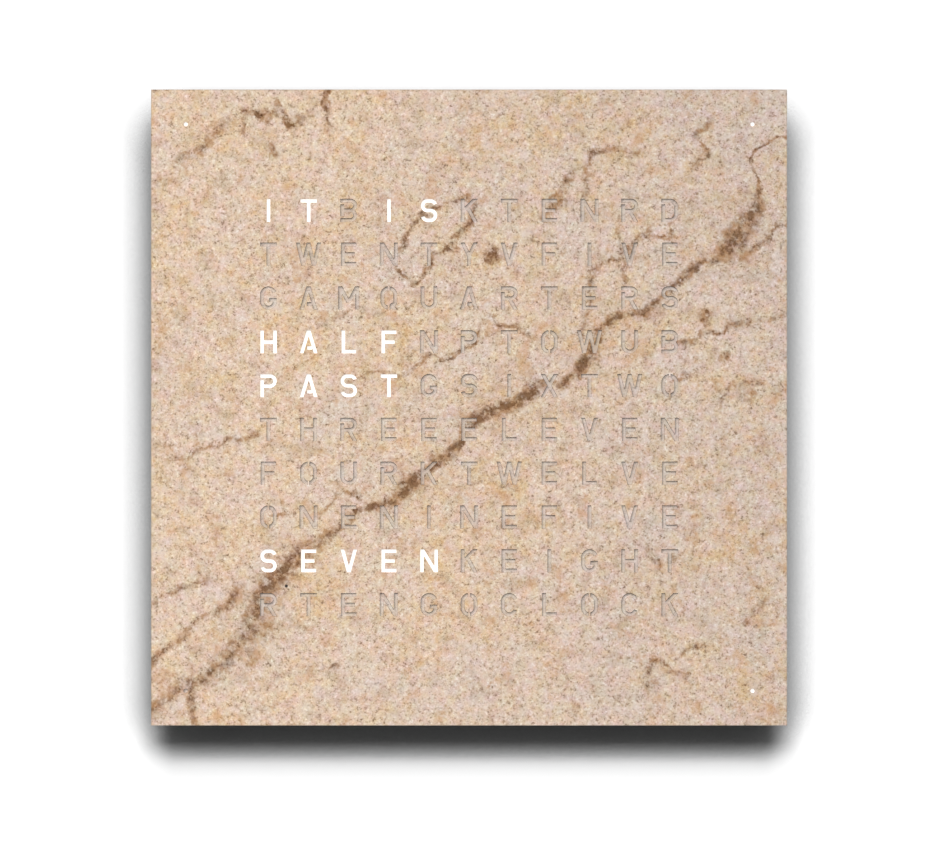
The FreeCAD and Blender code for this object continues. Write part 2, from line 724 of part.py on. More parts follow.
def casing_frame():
    frame = doc.addObject("PartDesign::Body", "casing_blank")
    walls = sketch(frame, PANEL_BACK)
    rectangle(walls, 0, 0, f"2 * {CASING_OUTER}", f"2 * {CASING_OUTER}")
    rectangle(walls, 0, 0, f"2 * {CASING_INNER}", f"2 * {CASING_INNER}")
    shell = pad(frame, walls, f"{COVER_BACK} - {PANEL_BACK}")
    round_corners(frame, shell, f"{CASING_INNER} + wall_thick / 2", "casing_rounding")

    corner_middle = f"({CASING_INNER} - corner_block / 2 + wall_thick / 4)"
    corner_side = "(corner_block + wall_thick / 2)"
    blocks = sketch(frame, PANEL_FRONT)
    for x, z in CORNERS:
        rectangle(blocks, f"{x} * {corner_middle}", f"{z} * {corner_middle}",
                  corner_side, corner_side)
    pad(frame, blocks, f"{COVER_BACK} - {PANEL_FRONT}")
    pad_middle = f"({PAD_PLACE} + wall_thick / 4)"
    pads = sketch(frame, PANEL_FRONT)
    for x, z in SIDES:
        wide = "(pad_depth + wall_thick / 2)" if x else "pad_length"
        tall = "(pad_depth + wall_thick / 2)" if z else "pad_length"
        rectangle(pads, f"{x} * {pad_middle}", f"{z} * {pad_middle}", wide, tall)
    pad(frame, pads, f"{COVER_BACK} - {PANEL_FRONT}")

    magnets = sketch(frame, COVER_BACK)
    for x, z in magnet_places():
        circle(magnets, x, z, "magnet_radius + magnet_clearance")
    pocket(frame, magnets, "magnet_thick")
    pins = sketch(frame, COVER_BACK)
    for side in (-1, 1):
        circle(pins, f"{side} * {PAD_PLACE}", "pin_offset", "pin_radius + pin_clearance")
    pocket(frame, pins, "pin_length + hole_spare")

    wells = sketch(frame, COVER_BACK)
    for x, z in CORNERS:
        circle(wells, f"{x} * {DOT_PLACE}", f"{z} * {DOT_PLACE}", "light_well_radius")
    pocket(frame, wells, f"{COVER_BACK} - {PANEL_FRONT}")
    seats = sketch(frame, PANEL_FRONT)
    for x, z in CORNERS:
        side = "(dot_board_side + 2 * panel_clearance)"
        rectangle(seats, f"{x} * {DOT_PLACE}", f"{z} * {DOT_PLACE}", side, side)
    pocket(frame, seats, f"{BOARD_FRONT} - {PANEL_FRONT}", to_front=True)

    screws = sketch(frame, PANEL_FRONT)
    for x, z in magnet_places():
        circle(screws, x, z, SCREW_HOLE)
    pocket(frame, screws, "screw_depth - panel_thick + hole_spare", to_front=True)

    side_holes = [level_rod(CASING_MIDDLE, z, "button_radius + button_clearance",
                            f"{CASING_INNER} - hole_spare", f"{CASING_OUTER} + hole_spare")
                  for number, z in button_places()]
    window_hole = upright_rod("-sensor_offset", CASING_MIDDLE, "window_radius + screw_clearance",
                              f"{CASING_INNER} - hole_spare", f"{CASING_OUTER} + hole_spare")
    jack_hole = upright_rod("jack_offset", CASING_MIDDLE, "jack_neck_radius + jack_clearance",
                            f"-{CASING_OUTER} - hole_spare", f"-{CASING_INNER} + hole_spare")
    posts, cores = [], []
    for z in button_post_places():
        posts.append(level_rod(CASING_MIDDLE, z, "post_radius", SWITCH_BACK,
                               f"{CASING_INNER} + wall_thick / 2"))
        cores.append(level_rod(CASING_MIDDLE, z, SMALL_HOLE, f"{SWITCH_BACK} - hole_spare",
                               f"{SWITCH_BACK} + small_screw_depth + hole_spare"))
    return fuse([frame, *posts]), side_holes + cores + [window_hole, jack_hole]


def rear_panel():
    panel = new_body("rear_panel")
    plate = sketch(panel, PANEL_BACK)
    side = f"2 * ({CASING_INNER} - panel_clearance)"
    rectangle(plate, 0, 0, side, side)
    pad(panel, plate, "panel_thick")
    grid_posts = sketch(panel, PANEL_FRONT)
    for x, z in grid_post_places():
        circle(grid_posts, x, z, "post_radius")
    pad(panel, grid_posts, f"{BOARD_FRONT} - {PANEL_FRONT}")
    posts = sketch(panel, PANEL_FRONT)
    for x, z in main_board_holes():
        circle(posts, x, z, "post_radius")
    pad(panel, posts, "wiring_gap")
    bosses = sketch(panel, PANEL_FRONT)
    for x, z in hanger_screw_places():
        circle(bosses, x, z, "post_radius")
    pad(panel, bosses, "hanger_screw_depth - panel_thick + hole_spare")

    holes = sketch(panel, PANEL_BACK)
    for x, z in [*magnet_places(), *grid_post_places(), *hanger_screw_places()]:
        circle(holes, x, z, SCREW_HOLE)
    pocket(panel, holes)
    board_holes = sketch(panel, BOARD_BACK)
    for x, z in main_board_holes():
        circle(board_holes, x, z, SMALL_HOLE)
    pocket(panel, board_holes, "small_screw_depth + hole_spare")
    rooms = sketch(panel, PANEL_BACK)
    for side in (-1, 1):
        rectangle(rooms, f"{side} * {HOOK_X}", HANGER_Z,
                  "2 * (hook_entry_radius + head_room)",
                  "2 * (hook_entry_radius + head_room) + hook_slot_rise")
    pocket(panel, rooms)
    return panel


def grid_post_places():
    """Six posts between rows of letters, under the rails of the light grid."""
    for side in (-1, 1):
        for step in (-4, 0, 4):
            yield f"{side} * {RAIL_MIDDLE}", f"{step} * {PITCH_DOWN}"


def main_board_holes():
    across = f"({MAIN_BOARD_LONG} / 2 - main_board_hole_inset)"
    down = "(main_board_height / 2 - main_board_hole_inset)"
    for x, z in CORNERS:
        yield f"{MAIN_BOARD_X} + {x} * {across}", f"{MAIN_BOARD_Z} + {z} * {down}"


def hanger_screw_places():
    for side in (-1, 1):
        for end in (-1, 1):
            yield (f"{side} * {HOOK_X}",
                   f"{HANGER_Z} + {end} * hanger_screw_offset")


def keyhole_plate(label, side):
    """A steel hanger: the screw's head goes in at the round hole and the shank up the slot."""
    plate = new_body(label)
    middle = f"{side} * {HOOK_X}"
    outline = sketch(plate, 0)
    rectangle(outline, middle, HANGER_Z, "hanger_width", "hanger_height")
    round_corners(plate, pad(plate, outline, "hanger_thick"), "0", "hanger_rounding")
    entry = sketch(plate, 0)
    circle(entry, middle, HOOK_RISE, "hook_entry_radius")
    pocket(plate, entry)
    slot = sketch(plate, 0)
    rectangle(slot, middle, HANGER_Z, "2 * hook_slot_radius",
              "hook_slot_rise")
    pocket(plate, slot)
    slot_end = sketch(plate, 0)
    circle(slot_end, middle, f"{HOOK_RISE} + hook_slot_rise", "hook_slot_radius")
    pocket(plate, slot_end)
    holes = sketch(plate, 0)
    for end in (-1, 1):
        circle(holes, middle, f"{HANGER_Z} + {end} * hanger_screw_offset",
               SCREW_HOLE)
    pocket(plate, holes)
    sinks = sketch(plate, 0)
    for end in (-1, 1):
        circle(sinks, middle, f"{HANGER_Z} + {end} * hanger_screw_offset",
               "screw_head_radius + screw_clearance")
    pocket(plate, sinks, "screw_head_thick", to_front=True)


def casing():
    frame, holes = casing_frame()
    node("casing_frame", cut(frame, holes))
    rear_panel()

    node("rear_panel_screws", group([
        screw(x, z, "screw_radius", "screw_head_radius", "screw_head_thick", PANEL_BACK,
              f"{PANEL_BACK} + screw_depth") for x, z in magnet_places()]))
    node("cover_magnets", group([
        rod(x, z, "magnet_radius", f"{COVER_BACK} - magnet_thick", COVER_BACK)
        for x, z in magnet_places()]))

    keyhole_plate("keyhole_plate_left", -1)
    keyhole_plate("keyhole_plate_right", 1)
    node("keyhole_plate_screws", group([
        screw(x, z, "screw_radius", "screw_head_radius", "screw_head_thick", "screw_head_thick",
              f"{PANEL_BACK} + hanger_screw_depth") for x, z in hanger_screw_places()]))
    spot = f"({CASING_OUTER} - bumper_from_wall)"
    for x, z in CORNERS:
        name = f"wall_bumper_{'top' if z > 0 else 'bottom'}_{'right' if x > 0 else 'left'}"
        node(name, group([rod(f"{x} * {spot}", f"{z} * {spot}", "bumper_radius",
                              0, "hanger_thick")]))


# ---------------------------------------------------------------------------------------
# Lighting
# ---------------------------------------------------------------------------------------
def row_place(line):
    return f"({(ROWS - 1) / 2 - line} * {PITCH_DOWN})"


def column_place(column):
    return f"({column - (COLUMNS - 1) / 2} * {PITCH_ACROSS})"


def row_screw_places():
    for line in range(ROWS):
        for side in (-1, 1):
            yield f"{side} * {RAIL_MIDDLE}", row_place(line)


def light_grid():
    """A slab between two rails, with one light cell behind each letter."""
    grid = doc.addObject("PartDesign::Body", "grid_blank")
    slab = sketch(grid, BOARD_FRONT)
    rectangle(slab, 0, 0, f"2 * {GRID_HALF_WIDTH}", f"2 * {GRID_HALF_HEIGHT}")
    pad(grid, slab, "grid_depth")
    post_holes = sketch(grid, BOARD_FRONT)
    for x, z in grid_post_places():
        circle(post_holes, x, z, SCREW_HOLE)
    pocket(grid, post_holes, "grid_depth - cell_wall", to_front=True)
    board_holes = sketch(grid, BOARD_FRONT)
    for x, z in row_screw_places():
        circle(board_holes, x, z, SMALL_HOLE)
    pocket(grid, board_holes, "small_screw_depth + hole_spare", to_front=True)
    cells = [block(column_place(column), row_place(line), f"{PITCH_ACROSS} - cell_wall",
                   f"{PITCH_DOWN} - cell_wall", f"{BOARD_FRONT} - hole_spare",
                   f"{GRID_FRONT} + hole_spare")
             for line in range(ROWS) for column in range(COLUMNS)]
    node("light_grid", cut(grid, [group(cells)]))


def lighting():
    light_grid()
    node("grid_screws", group([
        screw(x, z, "screw_radius", "screw_head_radius", "screw_head_thick", PANEL_BACK,
              f"{GRID_FRONT} - cell_wall - hole_spare") for x, z in grid_post_places()]))
    for line in range(ROWS):
        board = new_body(f"led_board_row_{line + 1:02d}")
        outline = sketch(board, BOARD_BACK)
        rectangle(outline, 0, row_place(line), f"2 * ({RAIL_MIDDLE} + row_board_lip)",
                  "row_board_height")
        for side in (-1, 1):
            circle(outline, f"{side} * {RAIL_MIDDLE}", row_place(line), SMALL_HOLE)
        pad(board, outline, "board_thick")
    node("letter_leds", group([
        block(column_place(column), row_place(line), "lamp_side", "lamp_side",
              BOARD_FRONT, f"{BOARD_FRONT} + lamp_thick")
        for line in range(ROWS) for column in range(COLUMNS)]))
    small_screws.extend(
        screw(x, z, "small_screw_radius", "small_head_radius", "small_head_thick", BOARD_BACK,
              f"{BOARD_FRONT} + small_screw_depth") for x, z in row_screw_places())

    connector_back = f"({BOARD_BACK} - connector_thick)"
    heights = [row_place(line) for line in range(ROWS)] + [MAIN_BOARD_Z]
    node("ribbon_connectors", group([
        block(f"-{CONNECTOR_PLACE}", z, "connector_length", "connector_height",
              connector_back, BOARD_BACK) for z in heights]))
    node("row_ribbon", group([
        block(f"-{CONNECTOR_PLACE}", f"({row_place(0)} + {MAIN_BOARD_Z}) / 2", "ribbon_width",
              f"{row_place(0)} - {MAIN_BOARD_Z} + connector_height",
              f"{connector_back} - ribbon_thick", connector_back)]))

    dots = [(f"{x} * {DOT_PLACE}", f"{z} * {DOT_PLACE}") for x, z in CORNERS]
    node("minute_led_boards", group([
        block(x, z, "dot_board_side", "dot_board_side", BOARD_BACK, BOARD_FRONT)
        for x, z in dots]))
    node("minute_leds", group([
        block(x, z, "minute_lamp_side", "minute_lamp_side", BOARD_FRONT,
              f"{BOARD_FRONT} + lamp_thick") for x, z in dots]))


# ---------------------------------------------------------------------------------------
# Electronics in the margin below the letters, and around the walls
# ---------------------------------------------------------------------------------------
def main_board():
    board = new_body("main_board")
    outline = sketch(board, BOARD_BACK)
    rectangle(outline, MAIN_BOARD_X, MAIN_BOARD_Z, MAIN_BOARD_LONG, "main_board_height")
    for x, z in main_board_holes():
        circle(outline, x, z, SMALL_HOLE)
    pad(board, outline, "board_thick")

    def spot(step):
        return f"({MAIN_BOARD_X} + {step} * {MAIN_BOARD_LONG} / 6)"

    node("microcontroller", group([block(spot(-1), MAIN_BOARD_Z, "chip_side", "chip_side",
                                         BOARD_FRONT, f"{BOARD_FRONT} + chip_thick")]))
    node("clock_chip", group([block(spot(0), MAIN_BOARD_Z, "clock_chip_length",
                                    "clock_chip_height", BOARD_FRONT,
                                    f"{BOARD_FRONT} + chip_thick")]))
    floor = f"({BOARD_FRONT} + holder_floor)"
    rim = "(cell_radius + holder_clearance + holder_wall)"
    shell = rod(spot(1), MAIN_BOARD_Z, rim, BOARD_FRONT, f"{floor} + cell_thick")
    hollow = rod(spot(1), MAIN_BOARD_Z, "cell_radius + holder_clearance", floor,
                 f"{floor} + cell_thick + hole_spare")
    node("coin_cell_holder", cut(shell, [hollow]))
    node("coin_cell", group([rod(spot(1), MAIN_BOARD_Z, "cell_radius", floor,
                                 f"{floor} + cell_thick")]))
    node("power_coil", group([block(spot(2), MAIN_BOARD_Z, "coil_side", "coil_side",
                                    BOARD_FRONT, f"{BOARD_FRONT} + coil_thick")]))
    node("capacitors", group([
        rod(f"{spot(-2)} + {side} * 1.5 * capacitor_radius", MAIN_BOARD_Z, "capacitor_radius",
            BOARD_FRONT, f"{BOARD_FRONT} + capacitor_tall") for side in (-1, 1)]))
    for x, z in main_board_holes():
        head = rod(x, z, "small_head_radius", BOARD_FRONT, f"{BOARD_FRONT} + small_head_thick")
        shank = rod(x, z, "small_screw_radius", f"{BOARD_BACK} - small_screw_depth",
                    f"{BOARD_FRONT} + small_head_thick / 2")
        small_screws.append(fuse([head, shank]))


def supply_inlet():
    """A barrel socket through the lower wall, held by a nut on the inside."""
    mouth = f"(-{CASING_OUTER} - jack_flange_thick)"
    seat = f"(-{CASING_INNER})"
    nut_top = f"({seat} + jack_nut_thick)"
    flange = upright_rod("jack_offset", CASING_MIDDLE, "jack_flange_radius", mouth,
                         f"-{CASING_OUTER}")
    neck = upright_rod("jack_offset", CASING_MIDDLE, "jack_neck_radius", mouth, nut_top)
    barrel = upright_rod("jack_offset", CASING_MIDDLE, "jack_body_radius", nut_top,
                         f"{nut_top} + jack_body_length")
    bore = upright_rod("jack_offset", CASING_MIDDLE, "jack_bore_radius", mouth,
                       f"{mouth} + jack_bore_depth")
    pin = upright_rod("jack_offset", CASING_MIDDLE, "jack_pin_radius",
                      f"{mouth} + jack_pin_recess", f"{mouth} + jack_bore_depth + hole_spare")
    node("dc_jack", fuse([cut(fuse([flange, neck, barrel]), [bore]), pin]))

    hexagon = doc.addObject("Part::Prism", "hexagon")
    hexagon.Polygon = 6
    bind(hexagon, "Circumradius", "jack_nut_flats / sqrt(3)")
    bind(hexagon, "Height", "jack_nut_thick")
    bind(hexagon, "Placement.Base.x", "jack_offset")
    bind(hexagon, "Placement.Base.y", f"-{CASING_MIDDLE}")
    bind(hexagon, "Placement.Base.z", seat)
    thread = upright_rod("jack_offset", CASING_MIDDLE, "jack_neck_radius + screw_clearance",
                         f"{seat} - hole_spare", f"{nut_top} + hole_spare")
    node("dc_jack_nut", cut(hexagon, [thread]))


def push_buttons():
    """Four caps in the right-hand wall, each on the plunger of a switch behind it."""
    board_back = f"({SWITCH_BACK} - board_thick)"
    bodies = []
    for number, z in button_places():
        cap = level_rod(CASING_MIDDLE, z, "button_radius", FLANGE_IN,
                        f"{CASING_OUTER} + button_proud")
        flange = level_rod(CASING_MIDDLE, z, "button_flange_radius", FLANGE_IN, CASING_INNER)
        node(f"push_button_{number}", fuse([cap, flange]))
        plunger = level_rod(CASING_MIDDLE, z, "plunger_radius", f"{FLANGE_IN} - {PLUNGER_LONG}",
                            FLANGE_IN)
        node(f"switch_plunger_{number}", group([plunger]))
        housing = side_block(z, "switch_side", "switch_side", SWITCH_BACK, SWITCH_FACE)
        bore = level_rod(CASING_MIDDLE, z, "plunger_radius + plunger_clearance",
                         f"{SWITCH_BACK} + switch_floor", f"{SWITCH_FACE} + hole_spare")
        bodies.append(cut(housing, [bore]))
    node("tact_switches", group(bodies))

    long = "(3 * button_spacing + 2 * button_board_spare)"
    board = side_block(BUTTONS_Z, "button_board_width", long, board_back, SWITCH_BACK)
    holes = []
    for z in button_post_places():
        holes.append(level_rod(CASING_MIDDLE, z, SMALL_HOLE, f"{board_back} - hole_spare",
                               f"{SWITCH_BACK} + hole_spare"))
        head = level_rod(CASING_MIDDLE, z, "small_head_radius",
                         f"{board_back} - small_head_thick", board_back)
        shank = level_rod(CASING_MIDDLE, z, "small_screw_radius",
                          f"{board_back} - small_head_thick / 2",
                          f"{SWITCH_BACK} + small_screw_depth")
        small_screws.append(fuse([head, shank]))
    node("button_board", cut(board, holes))


def side_block(z, deep, tall, left, right):
    """A block on the right-hand wall, about the casing's middle depth."""
    return block(f"(({left}) + ({right})) / 2", z, f"({right}) - ({left})", tall,
                 f"{CASING_MIDDLE} - ({deep}) / 2", f"{CASING_MIDDLE} + ({deep}) / 2")


def sensor_and_antenna():
    """The brightness sensor behind its window, and the time-signal antenna on two clips."""
    node("light_sensor", group([
        upright_rod("-sensor_offset", CASING_MIDDLE, "sensor_radius",
                    f"{CASING_INNER} - sensor_length", CASING_INNER)]))
    plug = upright_rod("-sensor_offset", CASING_MIDDLE, "window_radius", CASING_INNER,
                       f"{CASING_OUTER} + window_flange_thick")
    flange = upright_rod("-sensor_offset", CASING_MIDDLE, "sensor_radius", CASING_OUTER,
                         f"{CASING_OUTER} + window_flange_thick")
    node("sensor_window", fuse([plug, flange]))

    def antenna_rod(radius, length):
        return level_rod(CASING_MIDDLE, ANTENNA_Z, radius,
                         f"antenna_offset - {length} / 2", f"antenna_offset + {length} / 2")

    node("antenna_rod", group([antenna_rod("antenna_radius", "antenna_length")]))
    winding = antenna_rod("antenna_coil_radius", "antenna_coil_length")
    core = antenna_rod("antenna_radius + antenna_clearance",
                       "(antenna_coil_length + 2 * hole_spare)")
    node("antenna_coil", cut(winding, [core]))
    clips = []
    across = "2 * (antenna_radius + clip_wall)"
    for end in (-1, 1):
        x = f"(antenna_offset + {end} * (antenna_length / 2 - clip_thick))"
        blank = block(x, ANTENNA_Z, "clip_thick", across, PANEL_FRONT,
                      f"{CASING_MIDDLE} + antenna_radius + clip_wall")
        bore = level_rod(CASING_MIDDLE, ANTENNA_Z, "antenna_radius + antenna_clearance",
                         f"{x} - clip_thick", f"{x} + clip_thick")
        clips.append(cut(blank, [bore]))
    node("antenna_clips", group(clips))


# ---------------------------------------------------------------------------------------
# Assembly
# ---------------------------------------------------------------------------------------
def check_and_export():
    doc.recompute()
    for piece in doc.Objects:
        if {"Invalid", "Error"} & set(piece.State):
            raise RuntimeError(f"{piece.Label} failed: {piece.State}")
    os.makedirs("parts", exist_ok=True)
    for piece in nodes:
        shape = piece.Shape
        if shape.isNull() or not shape.isValid() or not shape.Solids:
            raise RuntimeError(f"{piece.Label} has no valid shape")
        shape.exportStep(f"parts/{piece.Label}.step")
        print(f"{piece.Label}: {len(shape.Solids)} solids, {shape.Volume / 1000:.2f} cm3")
    print(f"{len(nodes)} nodes")


cover()
casing()
lighting()
main_board()
supply_inlet()
push_buttons()
sensor_and_antenna()
node("board_screws", group(small_screws))
check_and_export()
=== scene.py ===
"""Looks of a wall-hung word clock: a sandstone front with lit letters on a shallow casing.

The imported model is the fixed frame, in metres: X to the right as the clock is read, Z up, Y
towards the wall.  The origin lies on the wall, midway between the two hanging screws.  Solids
whose shape is right keep it and get a finish here; small hardware is modelled anew over its
solid.
"""
import json
import math

import bpy
from mathutils import Matrix, Vector

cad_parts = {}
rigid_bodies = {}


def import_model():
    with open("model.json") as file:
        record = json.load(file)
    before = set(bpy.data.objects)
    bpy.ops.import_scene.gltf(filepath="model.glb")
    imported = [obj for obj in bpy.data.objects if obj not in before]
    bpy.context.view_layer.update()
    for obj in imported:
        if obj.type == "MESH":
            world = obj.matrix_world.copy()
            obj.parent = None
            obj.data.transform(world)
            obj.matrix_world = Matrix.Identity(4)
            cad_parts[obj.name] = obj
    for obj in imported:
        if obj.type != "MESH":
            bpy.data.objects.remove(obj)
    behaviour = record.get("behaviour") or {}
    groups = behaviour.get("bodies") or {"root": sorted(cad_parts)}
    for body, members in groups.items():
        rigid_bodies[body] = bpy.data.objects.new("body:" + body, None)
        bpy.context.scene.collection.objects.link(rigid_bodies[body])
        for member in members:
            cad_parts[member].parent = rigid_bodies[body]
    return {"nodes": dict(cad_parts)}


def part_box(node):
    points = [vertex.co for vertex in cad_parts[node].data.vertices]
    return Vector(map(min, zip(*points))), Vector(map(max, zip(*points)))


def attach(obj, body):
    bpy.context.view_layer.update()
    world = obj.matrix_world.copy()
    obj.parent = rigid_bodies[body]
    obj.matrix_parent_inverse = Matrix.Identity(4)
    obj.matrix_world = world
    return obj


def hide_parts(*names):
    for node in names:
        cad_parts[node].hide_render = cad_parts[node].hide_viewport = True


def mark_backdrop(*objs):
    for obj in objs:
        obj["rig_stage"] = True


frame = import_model()

bl_info = {
    "name": "Word clock",
    "version": (1, 0, 0),
    "blender": (4, 5, 0),
    "location": "View3D > Sidebar > Word clock",
    "description": "Finishes and hardware of a stone-fronted word clock, and its studio",
    "category": "Object",
}

MM = 0.001
NODES = frame["nodes"]
FACE_LOW, FACE_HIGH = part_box("stone_face")
FACE_MIDDLE = (FACE_LOW + FACE_HIGH) / 2
FACE_HALF = (FACE_HIGH.x - FACE_LOW.x) / 2


def paint(red, green, blue):
    """A colour from a paint card, 0 to 255 a channel, as the linear one that shaders take."""
    def linear(channel):
        share = channel / 255
        return share / 12.92 if share <= 0.04045 else ((share + 0.055) / 1.055) ** 2.4
    return (linear(red), linear(green), linear(blue), 1.0)


# ---------------------------------------------------------------------------------------
# What the letters say
# ---------------------------------------------------------------------------------------
LETTER_COLUMNS = 11
LETTER_ROWS = 10
PITCH_ACROSS = 28.4 * MM
PITCH_DOWN = 31 * MM

# word: (row, first column, letters), rows from the top
WORDS = {
    "IT": (0, 0, 2), "IS": (0, 3, 2), "TEN_MINUTES": (0, 6, 3),
    "TWENTY": (1, 0, 6), "FIVE_MINUTES": (1, 7, 4),
    "QUARTER": (2, 3, 7),
    "HALF": (3, 0, 4), "TO": (3, 6, 2),
    "PAST": (4, 0, 4), "SIX": (4, 5, 3), "TWO": (4, 8, 3),
    "THREE": (5, 0, 5), "ELEVEN": (5, 5, 6),
    "FOUR": (6, 0, 4), "TWELVE": (6, 5, 6),
    "ONE": (7, 0, 3), "NINE": (7, 3, 4), "FIVE": (7, 7, 4),
    "SEVEN": (8, 0, 5), "EIGHT": (8, 6, 5),
    "TEN": (9, 1, 3), "OCLOCK": (9, 5, 6),
}
HOURS = ["TWELVE", "ONE", "TWO", "THREE", "FOUR", "FIVE", "SIX", "SEVEN", "EIGHT", "NINE",
         "TEN", "ELEVEN"]
FIVES = [["OCLOCK"], ["FIVE_MINUTES", "PAST"], ["TEN_MINUTES", "PAST"], ["QUARTER", "PAST"],
         ["TWENTY", "PAST"], ["TWENTY", "FIVE_MINUTES", "PAST"], ["HALF", "PAST"],
         ["TWENTY", "FIVE_MINUTES", "TO"], ["TWENTY", "TO"], ["QUARTER", "TO"],
         ["TEN_MINUTES", "TO"], ["FIVE_MINUTES", "TO"]]
DOT_CORNERS = [(-1, 1), (1, 1), (1, -1), (-1, -1)]


def words_for(hour, minute):
    """The words that light up at a time of day."""
    phrase = FIVES[minute // 5]
    if "TO" in phrase:
        hour += 1
    return ["IT", "IS", *phrase, HOURS[hour % 12]]


# ---------------------------------------------------------------------------------------
# Settings
# ---------------------------------------------------------------------------------------
class ClockTime(bpy.types.PropertyGroup):
    hour: bpy.props.IntProperty(
        name="Hour", description="Hour that the lit words tell", default=7, min=0, max=23)
    minute: bpy.props.IntProperty(
        name="Minute", description="Minute that the lit words and corner dots tell",
        default=33, min=0, max=59)
    glow: bpy.props.FloatProperty(
        name="Glow", description="Light given off by a lit letter, where 1 is white",
        default=0.95, min=0, soft_max=5)


class StoneFinish(bpy.types.PropertyGroup):
    sand: bpy.props.FloatVectorProperty(
        name="Sand", description="Colour of most of the grains", subtype="COLOR",
        default=paint(216, 193, 176)[:3], min=0, max=1)
    quartz: bpy.props.FloatVectorProperty(
        name="Quartz", description="Colour of the palest grains", subtype="COLOR",
        default=paint(241, 227, 215)[:3], min=0, max=1)
    iron: bpy.props.FloatVectorProperty(
        name="Iron stain", subtype="COLOR", default=(0.28, 0.19, 0.125), min=0, max=1,
        description="Share of each colour that the darkest veins let through")
    grain: bpy.props.FloatProperty(
        name="Grain", description="Width of a sand grain", subtype="DISTANCE",
        unit="LENGTH", default=1.5 * MM, min=0.3 * MM, max=6 * MM)
    relief: bpy.props.FloatProperty(
        name="Relief", description="Depth of the cleft surface", subtype="DISTANCE",
        unit="LENGTH", default=0.12 * MM, min=0, max=1 * MM)


class HardwareFinish(bpy.types.PropertyGroup):
    casing: bpy.props.FloatVectorProperty(
        name="Casing", description="Colour of the moulded casing", subtype="COLOR",
        default=paint(38, 38, 40)[:3], min=0, max=1)
    steel: bpy.props.FloatVectorProperty(
        name="Steel", description="Colour of zinc-plated steel", subtype="COLOR",
        default=paint(196, 198, 200)[:3], min=0, max=1)
    board: bpy.props.FloatVectorProperty(
        name="Board", description="Colour of the circuit boards' solder mask",
        subtype="COLOR", default=paint(24, 84, 52)[:3], min=0, max=1)


class Studio(bpy.types.PropertyGroup):
    distance: bpy.props.FloatProperty(
        name="Camera distance", description="From the stone's front to the camera",
        subtype="DISTANCE", unit="LENGTH", default=3.0, min=0.5, max=20)
    view_width: bpy.props.FloatProperty(
        name="View width", description="Width of the view at the stone's front",
        subtype="DISTANCE", unit="LENGTH", default=0.6644, min=0.1, max=10)
    key: bpy.props.FloatProperty(
        name="Key light", description="Strength of the wide soft light above the clock",
        default=3.75, min=0)
    key_height: bpy.props.FloatProperty(
        name="Key height", description="How far above level the key light stands",
        subtype="ANGLE", unit="ROTATION", default=math.radians(47.5), min=0,
        max=math.radians(90))
    key_softness: bpy.props.FloatProperty(
        name="Key softness", description="Angle across which the key light is spread",
        subtype="ANGLE", unit="ROTATION", default=math.radians(42), min=0,
        max=math.radians(120))
    fill: bpy.props.FloatProperty(
        name="Fill light", description="Power of the low lamp that evens out the front",
        unit="POWER", default=20, min=0)
    rear: bpy.props.FloatProperty(
        name="Rear light", description="Power of the lamp behind the clock",
        unit="POWER", default=120, min=0)


SETTINGS = {"clock_time": ClockTime, "clock_stone": StoneFinish,
            "clock_hardware": HardwareFinish, "clock_studio": Studio}


# ---------------------------------------------------------------------------------------
# Mixing a finish
# ---------------------------------------------------------------------------------------
WHITE = (1, 1, 1, 1)
BLACK = (0, 0, 0, 1)
CLOUD_RANGE = (0.3, 0.7)        # a noise seldom leaves it
EDGE_TURN = (0.995, 0.8)        # cosine of the turn of a rounded edge: none, and full wear


